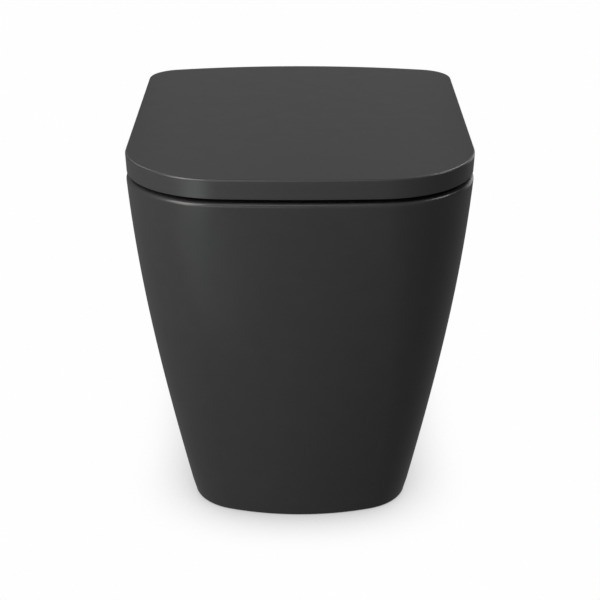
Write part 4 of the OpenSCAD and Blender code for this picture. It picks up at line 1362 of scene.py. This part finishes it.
@dataclass
class SoftClose:
    """What turns on the hinge axis: a damper and its shaft for lid and seat, and a plain pin for each.

    The damper's profile gives radius and distance: its bore and grooved end cap from the mouth, and its tail
    from the other end.
    """

    line: HingeLine
    damper_l: float = 38.0
    bore_r: float = 3.05
    bore_past: float = 0.5
    bore_lead: float = 0.3
    end_cap: tuple[Point, ...] = ((3.35, 0.0), (4.7, 0.0), (5.0, 0.3), (5.0, 3.2), (4.6, 3.4), (4.6, 4.2),
                                  (5.0, 4.4))
    tail: tuple[Point, ...] = ((5.0, 2.4), (4.4, 0.6), (3.6, 0.0))
    key_l: float = 37.0
    key_half: float = 1.5
    key_reach: Point = (4.0, 6.0)
    key_edge: float = 0.3
    shaft_in: float = 12.0
    shaft_r: float = 3.0
    shaft_gap: float = 0.2
    pin_gap: float = 0.3
    chamfer: float = 0.5

    def inwards(self, side: Side, x: float) -> Axis:
        """Gives the hinge axis from a place on one side towards the middle."""
        return Axis((side.value * x, self.line.y, self.line.z), (-side.value, 0.0, 0.0))

    def damper(self, side: Side, owner: str) -> None:
        """Moulds a damper's body with its end cap, its key and the bore for the shaft.

        Args:
            side: Side of the toilet that it lies on.
            owner: Whether it slows the lid or the seat.
        """
        line, mouth = self.line, self.line.inner[1]
        body = self.inwards(side, mouth).turn(owner + "_damper_body", [
            (self.bore_r, self.shaft_in + self.bore_past), (self.bore_r, self.bore_lead), *self.end_cap,
            *[(r, self.damper_l - short) for r, short in self.tail]])
        left, right = sorted((side.value * mouth, side.value * (mouth - self.key_l)))
        near, far = self.key_reach
        combine(body, Join.ADD, [block("key", (left, line.y - far, line.z - self.key_half),
                                       (right, line.y - near, line.z + self.key_half), self.key_edge)])
        dress(body, owner, "damper_plastic", owner + "_damper")

    def rod(self, name: str, side: Side, x0: float, x1: float, node: str) -> None:
        """Turns a steel rod with chamfered ends on the hinge axis.

        Args:
            name: The piece's plain name.
            side: Side of the toilet that it lies on.
            x0: Its inner end.
            x1: Its outer end.
            node: The CAD node that it stands for.
        """
        r, c, end = self.shaft_r, self.chamfer, x1 - x0
        rod = self.inwards(side, x1).turn(name, [(r - c, 0.0), (r, c), (r, end - c), (r - c, end)])
        dress(rod, "pan", "stainless", node)

    def build(self) -> None:
        """Fits both dampers, their shafts and the plain pins."""
        line = self.line
        for side, owner, other in ((Side.LEFT, "lid", Side.RIGHT), (Side.RIGHT, "seat", Side.LEFT)):
            self.damper(side, owner)
            self.rod(owner + "_shaft", side, line.inner[1] - self.shaft_in, line.post_x - self.shaft_gap,
                     owner + "_damper_shaft")
            self.rod(owner + "_pin", other, line.post_x + self.shaft_gap,
                     line.outer[1] - line.pin_end - self.pin_gap, owner + "_hinge_pin")


# Fixings, pads and seal


@dataclass
class ShelfFixing:
    """What holds a hinge post on the china: gasket, stud, expanding bush and nut.

    The profiles give radius and height, up the outside and back down the bore.
    """

    line: HingeLine
    side: Side
    shelf_z: float = 386.0
    gasket_profile: tuple[Point, ...] = ((13.0, 0.2), (13.0, 0.8), (12.8, 1.0), (3.7, 1.0), (3.5, 0.8),
                                         (3.5, 0.2), (3.7, 0.0), (12.8, 0.0))
    stud_z: Point = (339.7, 393.7)
    stud_r: float = 3.0
    stud_end_r: float = 2.2
    stud_pitch: float = 1.0
    thread_deep: float = 0.5
    stud_run: float = 0.3
    bush_z: float = 351.7
    bush_profile: tuple[Point, ...] = (
        (6.6, 0.0), (6.9, 0.4), (8.9, 9.6), (9.0, 10.2), (9.0, 12.0), (8.5, 12.5), (8.5, 13.2), (9.0, 13.7),
        (9.0, 15.3), (8.5, 15.8), (8.5, 16.5), (9.0, 17.0), (9.0, 19.4), (8.6, 20.0), (6.8, 20.0),
        (6.8, 33.4), (6.5, 33.8), (3.5, 33.8), (3.1, 33.4), (3.1, 0.4), (3.5, 0.0))
    nut_z: float = 344.7
    nut_t: float = 7.0
    nut_corner: float = 8.0
    nut_face: float = 7.1
    nut_chamfer: float = 0.7
    nut_bore: float = 3.05
    nut_mouth: float = 3.5
    nut_lead: float = 0.5

    def upright(self, z: float, sides: int = 72) -> Axis:
        """Gives the post's axis upwards from a height."""
        return Axis((self.side.value * self.line.post_x, self.line.post_y, z), (0.0, 0.0, 1.0), sides)

    def gasket(self) -> Piece:
        """Cuts the flat gasket between the post's flange and the shelf.

        Returns:
            The gasket.
        """
        return self.upright(self.shelf_z).turn(self.side.label("gasket"), self.gasket_profile, hollow=True)

    def bush(self) -> Piece:
        """Moulds the expanding bush: a tapered foot, ribs that grip the hole, and a long neck.

        Returns:
            The bush.
        """
        return self.upright(self.bush_z).turn(self.side.label("bush"), self.bush_profile, hollow=True)

    def stud(self) -> Piece:
        """Rolls the stud, threaded from end to end.

        Returns:
            The stud.
        """
        low, high = self.stud_z
        rod, end, run = self.upright(low, 36), high - low, self.stud_run
        thread = rod.thread(self.stud_r, self.thread_deep, self.stud_pitch, run, end - run)
        return loft(self.side.label("stud"), [rod.circle(self.stud_end_r, 0.0), *thread,
                                              rod.circle(self.stud_end_r, end)])

    def nut(self) -> Piece:
        """Turns the hexagon nut, with chamfered corners and bore.

        Returns:
            The nut.
        """
        a, top, corner, face = self.upright(self.nut_z), self.nut_t, self.nut_corner, self.nut_face
        cut, bore, mouth, lead = self.nut_chamfer, self.nut_bore, self.nut_mouth, self.nut_lead
        return loft(self.side.label("nut"), [
            a.hexagon(corner, 0.0, face), a.hexagon(corner, cut, corner),
            a.hexagon(corner, top - cut, corner), a.hexagon(corner, top, face), a.circle(mouth, top),
            a.circle(bore, top - lead), a.circle(bore, lead), a.circle(mouth, 0.0)], ring=True)

    def build(self) -> None:
        """Makes the fixing of one side."""
        for piece, slot, node in ((self.gasket(), "rubber", "post_gaskets"),
                                  (self.bush(), "rubber", "expansion_bushes"),
                                  (self.stud(), "stainless", "fixing_studs"),
                                  (self.nut(), "nut_brass", "fixing_nuts")):
            dress(piece, "pan", slot, node)


@dataclass
class FloorFixing:
    """One side's floor fixing: a ribbed bracket, a screw through the china and its cap.

    The profiles of screw and cap give radius and distance outwards from the china, the screw's tip from its
    own end. The ring's gives how far it stands out from the floor hole, and the height.
    """

    pan: ChinaPan
    side: Side
    gap: float = 0.3
    toe: float = 62.0
    width: float = 40.0
    height: float = 62.0
    foot_t: float = 5.0
    upright_t: float = 9.0
    fillet: float = 5.0
    rib_t: float = 5.0
    rib_in: float = 0.2
    edge: float = 0.8
    rib_slope: float = 1.5
    boss_r: float = 9.0
    boss_run: Point = (6.0, 28.0)
    boss_chamfer: float = 1.0
    floor_hole: Point = (80.0, 4.5)
    hole_ring: tuple[Point, ...] = ((4.5, 0.0), (4.5, 1.5), (4.0, 2.0), (1.0, 2.0))
    screw_l: float = 32.0
    screw_bore: float = 4.05
    screw_short: float = 4.0
    screw_tip: tuple[Point, ...] = ((1.6, 0.0), (3.0, 1.4))
    screw_r: float = 4.0
    thread_deep: float = 0.8
    thread_pitch: float = 2.8
    thread_in: float = 1.6
    thread_end: float = -12.0
    shank: tuple[Point, ...] = ((3.9, -11.6), (4.0, -11.4), (4.0, 0.3), (7.1, 0.3), (7.5, 0.7), (7.5, 1.9),
                                (7.0, 2.6), (6.2, 2.8))
    head_corner: float = 6.0
    head: tuple[Point, ...] = ((6.0, 2.85), (6.0, 3.8), (5.3, 4.3))
    cap_lip: tuple[Point, ...] = ((8.0, 5.6), (9.2, 5.0), (9.6, 4.0), (9.6, 0.4), (9.8, 0.2), (10.8, 0.2),
                                  (11.0, 0.4))
    cap_r: float = 11.0
    cap_h: float = 7.0
    cap_round: float = 3.0
    cap_dome: Point = (5.0, 6.9)
    notch_drop: float = 11.4
    notch_half: float = 2.6
    notch_r: float = 1.3

    def through(self) -> Axis:
        """Gives the screw's axis, outwards from the surface of the china and square to it."""
        start, out = self.pan.side_line(self.side)
        return Axis(tuple(start), tuple(out))

    def inner_x(self, z: float) -> float:
        """Gives where the bracket meets the inside of the china at a height."""
        return self.pan.half_w(z) - self.pan.wall - self.gap

    def plate(self, name: str, profile: list[Point], y0: float, y1: float) -> Piece:
        """Makes a plate with a profile across the toilet, between two places along it, and eases its edges.

        Args:
            name: The piece's plain name.
            profile: Distance from the middle and height of each point.
            y0: Front of the plate.
            y1: Back of the plate.

        Returns:
            The plate.
        """
        plate = loft(name, [[(self.side.value * x, y, z) for x, z in profile] for y in (y0, y1)])
        ease_edges(plate, self.edge)
        return plate

    def bracket(self) -> None:
        """Moulds the bracket: foot, upright, side ribs, a screw boss and a ring round the floor hole."""
        y = self.pan.side_screw[0]
        y0, y1 = y - self.width / 2.0, y + self.width / 2.0
        t, top, inner = self.foot_t, self.height, self.inner_x
        corner = inner(t) - self.upright_t
        body = self.plate(self.side.label("bracket"), [
            (self.toe, 0.0), (inner(0.0), 0.0), (inner(top), top), (inner(top) - self.upright_t, top),
            *[(corner - inwards, t + up) for up, inwards in reversed(rounding(self.fillet, 6))],
            (self.toe, t)], y0, y1)
        gusset = [(self.toe + OVER, t - OVER), (inner(t) - OVER, t - OVER),
                  (inner(top) - self.rib_slope, top - OVER)]
        ribs = [self.plate("rib", gusset, start + self.rib_in, start + self.rib_t - self.rib_in)
                for start in (y0, y1 - self.rib_t)]
        axis, reach = self.through(), -self.pan.wall - self.screw_l
        low, high = (reach + along for along in self.boss_run)
        chamfer = self.boss_chamfer
        boss = axis.turn("boss", [(self.boss_r - chamfer, low), (self.boss_r, low + chamfer),
                                  (self.boss_r, high)])
        x, r = self.side.value * self.floor_hole[0], self.floor_hole[1]
        ring = Axis((x, y, t - OVER), (0.0, 0.0, 1.0)).turn(
            "hole_ring", [(r + out, up) for out, up in self.hole_ring])
        combine(body, Join.ADD, [*ribs, boss, ring])
        bore = axis.turn("screw_bore", [(self.screw_bore, reach - OVER), (self.screw_bore, 0.0)])
        combine(body, Join.CUT, [bore, bar("floor_hole", (x, y, -OVER), (x, y, t + 2.0 * OVER), r)])
        dress(body, "pan", "bracket_nylon", self.side.label("floor_bracket"))

    def screw(self) -> None:
        """Rolls the screw: coarse thread, plain shank, flange and chamfered hexagon head."""
        a = self.through()
        tip = -self.pan.wall - self.screw_l + self.screw_short
        screw = loft(self.side.label("side_screw"), [
            *[a.circle(r, tip + along) for r, along in self.screw_tip],
            *a.thread(self.screw_r, self.thread_deep, self.thread_pitch, tip + self.thread_in,
                      self.thread_end),
            *[a.circle(r, along) for r, along in self.shank],
            *[a.hexagon(self.head_corner, along, limit) for limit, along in self.head]])
        dress(screw, "pan", "stainless", "side_screws")

    def cap(self) -> None:
        """Moulds the snap cap: a thin domed cup with a thumb notch at its lower edge."""
        axis = self.through()
        edge = [(self.cap_r - inwards, self.cap_h - short) for inwards, short in rounding(self.cap_round, 8)]
        cap = axis.turn(self.side.label("side_cap"), [*self.cap_lip, *edge, self.cap_dome])
        low = Vector(axis.start) - Vector((0.0, 0.0, self.notch_drop))
        half = Vector((0.0, self.notch_half, 0.0))
        combine(cap, Join.CUT, [bar("thumb_notch", tuple(low - half), tuple(low + half), self.notch_r, 32)])
        dress(cap, "pan", "cap_plastic", "side_screw_caps")

    def build(self) -> None:
        """Makes the bracket, the screw and the cap."""
        self.bracket()
        self.screw()
        self.cap()


@dataclass
class RestingPads:
    """Rubber pads on which the lid rests on the seat, and the seat on the rim.

    Their profiles give radius and height over the pad's foot.
    """

    lid_x: float = 144.25
    seat_x: float = 161.0
    ys: Point = (-165.0, 45.0)
    lid_z: float = 413.3
    seat_z: float = 395.2
    dished: tuple[Point, ...] = ((1.6, 0.55), (3.0, 0.4), (4.0, 0.08), (4.4, 0.0), (6.2, 0.0), (6.8, 0.3),
                                 (7.0, 0.9), (7.0, 3.5))
    domed: tuple[Point, ...] = ((4.5, 0.0), (6.6, 0.15), (7.7, 0.7), (8.3, 1.6), (8.8, 3.0), (9.0, 3.8))

    def build(self) -> None:
        """Moulds the eight pads: dished ones under the lid and domed ones under the seat."""
        kinds = (("lid", self.lid_x, self.lid_z, self.dished, "lid_buffers"),
                 ("seat", self.seat_x, self.seat_z, self.domed, "seat_buffers"))
        for side in Side:
            for end, y in zip(("front", "rear"), self.ys):
                for body, x, z, profile, node in kinds:
                    pad = Axis((side.value * x, y, z), (0.0, 0.0, 1.0)).turn(
                        side.label(body + "_pad_" + end), profile)
                    dress(pad, body, "rubber", node)


@dataclass
class InletSeal:
    """Ribbed rubber seal between the china socket and the flush pipe.

    A rib's points give how far it stands out from the root and where they lie in its pitch, a groove's how
    deep it is and where they lie from its middle, and the lip's how far out from the bore and how far from
    the end of the flange.
    """

    start_y: float = 201.0
    height: float = 335.0
    bore: float = 22.0
    root: float = 26.1
    nose: float = 0.4
    nose_edge: float = 0.3
    pitch: float = 8.25
    ribs: int = 4
    rib: tuple[Point, ...] = ((1.0, 5.2), (1.2, 5.6), (1.0, 6.0), (0.2, 6.3), (0.0, 6.8))
    grooves: tuple[float, ...] = (25.0, 17.0, 9.0)
    groove: tuple[Point, ...] = ((0.0, 1.6), (0.7, 0.9), (0.7, -0.9), (0.0, -1.6))
    flange_y: float = 34.2
    flange_r: float = 33.5
    flange_t: float = 4.0
    flange_edge: Point = (0.6, 0.8)
    lip: tuple[Point, ...] = ((2.4, 0.0), (1.4, 0.5), (0.0, 4.0))

    def build(self) -> None:
        """Moulds the seal: saw-tooth ribs outside, grooves inside and a flange with a lead-in."""
        b, root, nose, f, wide = self.bore, self.root, self.nose, self.flange_y, self.flange_r
        end, (near, far) = f + self.flange_t, self.flange_edge
        profile = [(b + nose, 0.0), (root - nose, 0.0), (root, self.nose_edge)]
        for count in range(self.ribs):
            start = count * self.pitch
            profile += [(root + out, start + along) for out, along in self.rib]
            profile.append((root, start + self.pitch))
        profile += [(root, f), (wide - near, f), (wide, f + near), (wide, end - far), (wide - far, end)]
        profile += [(b + out, end - short) for out, short in self.lip]
        for middle in self.grooves:
            profile += [(b + deep, middle + along) for deep, along in self.groove]
        profile.append((b, nose))
        seal = Axis((0.0, self.start_y, self.height), (0.0, 1.0, 0.0), 96).turn("inlet_seal", profile, True)
        dress(seal, "pan", "rubber", "flush_inlet_seal")


# The studio


@dataclass(frozen=True)
class Softbox:
    """A square soft light at a bearing round the toilet, with its sizes in metres.

    The azimuth turns from the front towards the viewer's left, and the elevation rises from the floor.
    """

    name: str
    azimuth: float
    elevation: float
    watts: float
    tint: str = "ffffff"
    size: float = 0.8
    distance: float = 2.6
    aim: Place = (0.0, 0.0, 0.25)

    def build(self) -> None:
        """Hangs the light, out of the camera's sight."""
        data = bpy.data.lights.new(self.name, "AREA")
        data.shape = "SQUARE"
        data.size = self.size
        data.energy = self.watts
        data.color = linear(self.tint)[:3]
        light = bpy.data.objects.new(self.name, data)
        azimuth, elevation = math.radians(self.azimuth), math.radians(self.elevation)
        towards = Vector((-math.sin(azimuth) * math.cos(elevation), -math.cos(azimuth) * math.cos(elevation),
                          math.sin(elevation)))
        light.location = Vector(self.aim) + self.distance * towards
        light.rotation_euler = towards.to_track_quat("Z", "Y").to_euler()
        light.visible_camera = False
        bpy.context.scene.collection.objects.link(light)


@dataclass
class Studio:
    """White floor, plain soft lights and the photograph's camera, with places in metres."""

    lens_mm: float = 95.75
    sensor_mm: float = 36.0
    camera_place: Place = (0.0, -1.733, 0.9048)
    camera_pitch: float = 67.5
    floor_half: float = 12.0
    floor_tone: str = "fefefe"
    wall_in: float = 0.5
    wall_z: Point = (-0.5, 13.5)
    shadow_reach: float = 0.082
    shadow_depth: float = 1.12
    shadow_fade: float = 2.1
    world_grey: float = 0.076
    lights: tuple[Softbox, ...] = (
        Softbox("key_left", 47.0, 35.0, 13.0, distance=1.5),
        Softbox("low_left", 44.0, 5.0, 14.6, "fffaf0"),
        Softbox("low_front", 15.0, 5.0, 5.0),
        Softbox("overhead", 15.0, 66.0, 7.5, size=1.1),
        Softbox("rim_right", -90.0, 40.0, 10.0),
        Softbox("rear_right", -150.0, 40.0, 10.0),
        Softbox("rear_left", 150.0, 40.0, 5.8),
        Softbox("rear_sheen", 180.0, 14.0, 0.38, size=0.9),
        Softbox("rear_low", 180.0, 0.0, 0.8, size=0.34, distance=0.7, aim=(0.0, 0.2, 0.19)),
        Softbox("side_low", -136.0, 6.0, 3.0, size=0.9, distance=1.7),
        Softbox("floor_bounce", 0.0, -90.0, 7.9, size=6.0, distance=0.248),
        Softbox("floor_sheen", 0.0, -90.0, 0.2, "eaf4f6", 0.45, 0.248, (-0.385, -0.65, 0.25)),
        Softbox("far_sheen", 0.0, -90.0, 0.9, "eaf5f8", 0.4, 0.248, (-0.6, -0.95, 0.25)),
    )

    def build(self) -> None:
        """Sets up the floor, the backdrop, the lights, the world and the camera."""
        scene = bpy.context.scene
        scene.view_settings.view_transform = "Standard"
        self.floor()
        self.backdrop()
        for light in self.lights:
            light.build()
        world = bpy.data.worlds.new("studio")
        world.use_nodes = True
        world.node_tree.nodes["Background"].inputs["Color"].default_value = (*(self.world_grey,) * 3, 1.0)
        scene.world = world
        data = bpy.data.cameras.new("camera")
        data.lens = self.lens_mm
        data.sensor_width = self.sensor_mm
        camera = bpy.data.objects.new("camera", data)
        camera.location = self.camera_place
        camera.rotation_euler = Euler((math.radians(self.camera_pitch), 0.0, 0.0))
        scene.collection.objects.link(camera)
        scene.camera = camera

    def stage(self, name: str, paint: Finish) -> Piece:
        """Names the active primitive as a studio piece with its material, and hides it from the toilet's
        diffuse and glossy light.

        Args:
            name: The piece's plain name.
            paint: Its material.

        Returns:
            The named piece.
        """
        piece = named(name)
        piece.data.materials.append(paint)
        piece.visible_diffuse = False
        piece.visible_glossy = False
        return piece

    def floor(self) -> None:
        """Lays a glowing white floor with a painted contact shadow: its colour darkens by ambient occlusion
        close round what stands on it.
        """
        deselect_all()
        bpy.ops.mesh.primitive_plane_add(size=2.0 * self.floor_half)
        paint, tree = blank_material("glowing_floor_painted_shadow")
        # Painted shadow: where ambient occlusion finds the toilet close by, the floor's glowing colour is
        # mixed towards black
        open_sky = add_node(tree, "ShaderNodeAmbientOcclusion", samples=16, Distance=self.shadow_reach)
        covered, fading, depth = (add_node(tree, "ShaderNodeMath", operation=operation)
                                  for operation in ("SUBTRACT", "POWER", "MULTIPLY"))
        covered.inputs[0].default_value = 1.0
        fading.inputs[1].default_value = self.shadow_fade
        depth.inputs[1].default_value = self.shadow_depth
        tree.links.new(open_sky.outputs["AO"], covered.inputs[1])
        tree.links.new(covered.outputs[0], fading.inputs[0])
        tree.links.new(fading.outputs[0], depth.inputs[0])
        painted_shadow_tone = add_node(tree, "ShaderNodeMix", {"Factor": depth.outputs[0]}, data_type="RGBA")
        painted_shadow_tone.inputs[6].default_value = linear(self.floor_tone)
        painted_shadow_tone.inputs[7].default_value = linear("000000")
        glow = add_node(tree, "ShaderNodeEmission", {"Color": painted_shadow_tone.outputs[2]})
        add_node(tree, "ShaderNodeOutputMaterial", {"Surface": glow.outputs["Emission"]})
        self.stage("studio_floor", paint)

    def backdrop(self) -> None:
        """Hangs a pale wall of paper all round, well behind what the front view shows."""
        deselect_all()
        low, high = self.wall_z
        bpy.ops.mesh.primitive_cylinder_add(vertices=96, radius=self.floor_half - self.wall_in,
                                            depth=high - low, location=(0.0, 0.0, (low + high) / 2.0),
                                            end_fill_type="NOTHING")
        paint, tree = blank_material("lit_backdrop_paper")
        glow = add_node(tree, "ShaderNodeEmission", Color=linear(self.floor_tone))
        add_node(tree, "ShaderNodeOutputMaterial", {"Surface": glow.outputs["Emission"]})
        self.stage("studio_backdrop", paint).visible_shadow = False


def main() -> None:
    """Builds the studio and the toilet, piece by piece."""
    logging.basicConfig(level=logging.INFO, format="%(name)s: %(message)s")
    Studio().build()
    line = HingeLine()
    pan = ChinaPan(line)
    for part in (pan, SeatRing(line), WrapOverLid(line), RestingPads(), InletSeal(), SoftClose(line)):
        part.build()
    for side in Side:
        for part in (QuickRelease(line, side), ShelfFixing(line, side), FloorFixing(pan, side)):
            part.build()


if __name__ == "__main__":
    main()
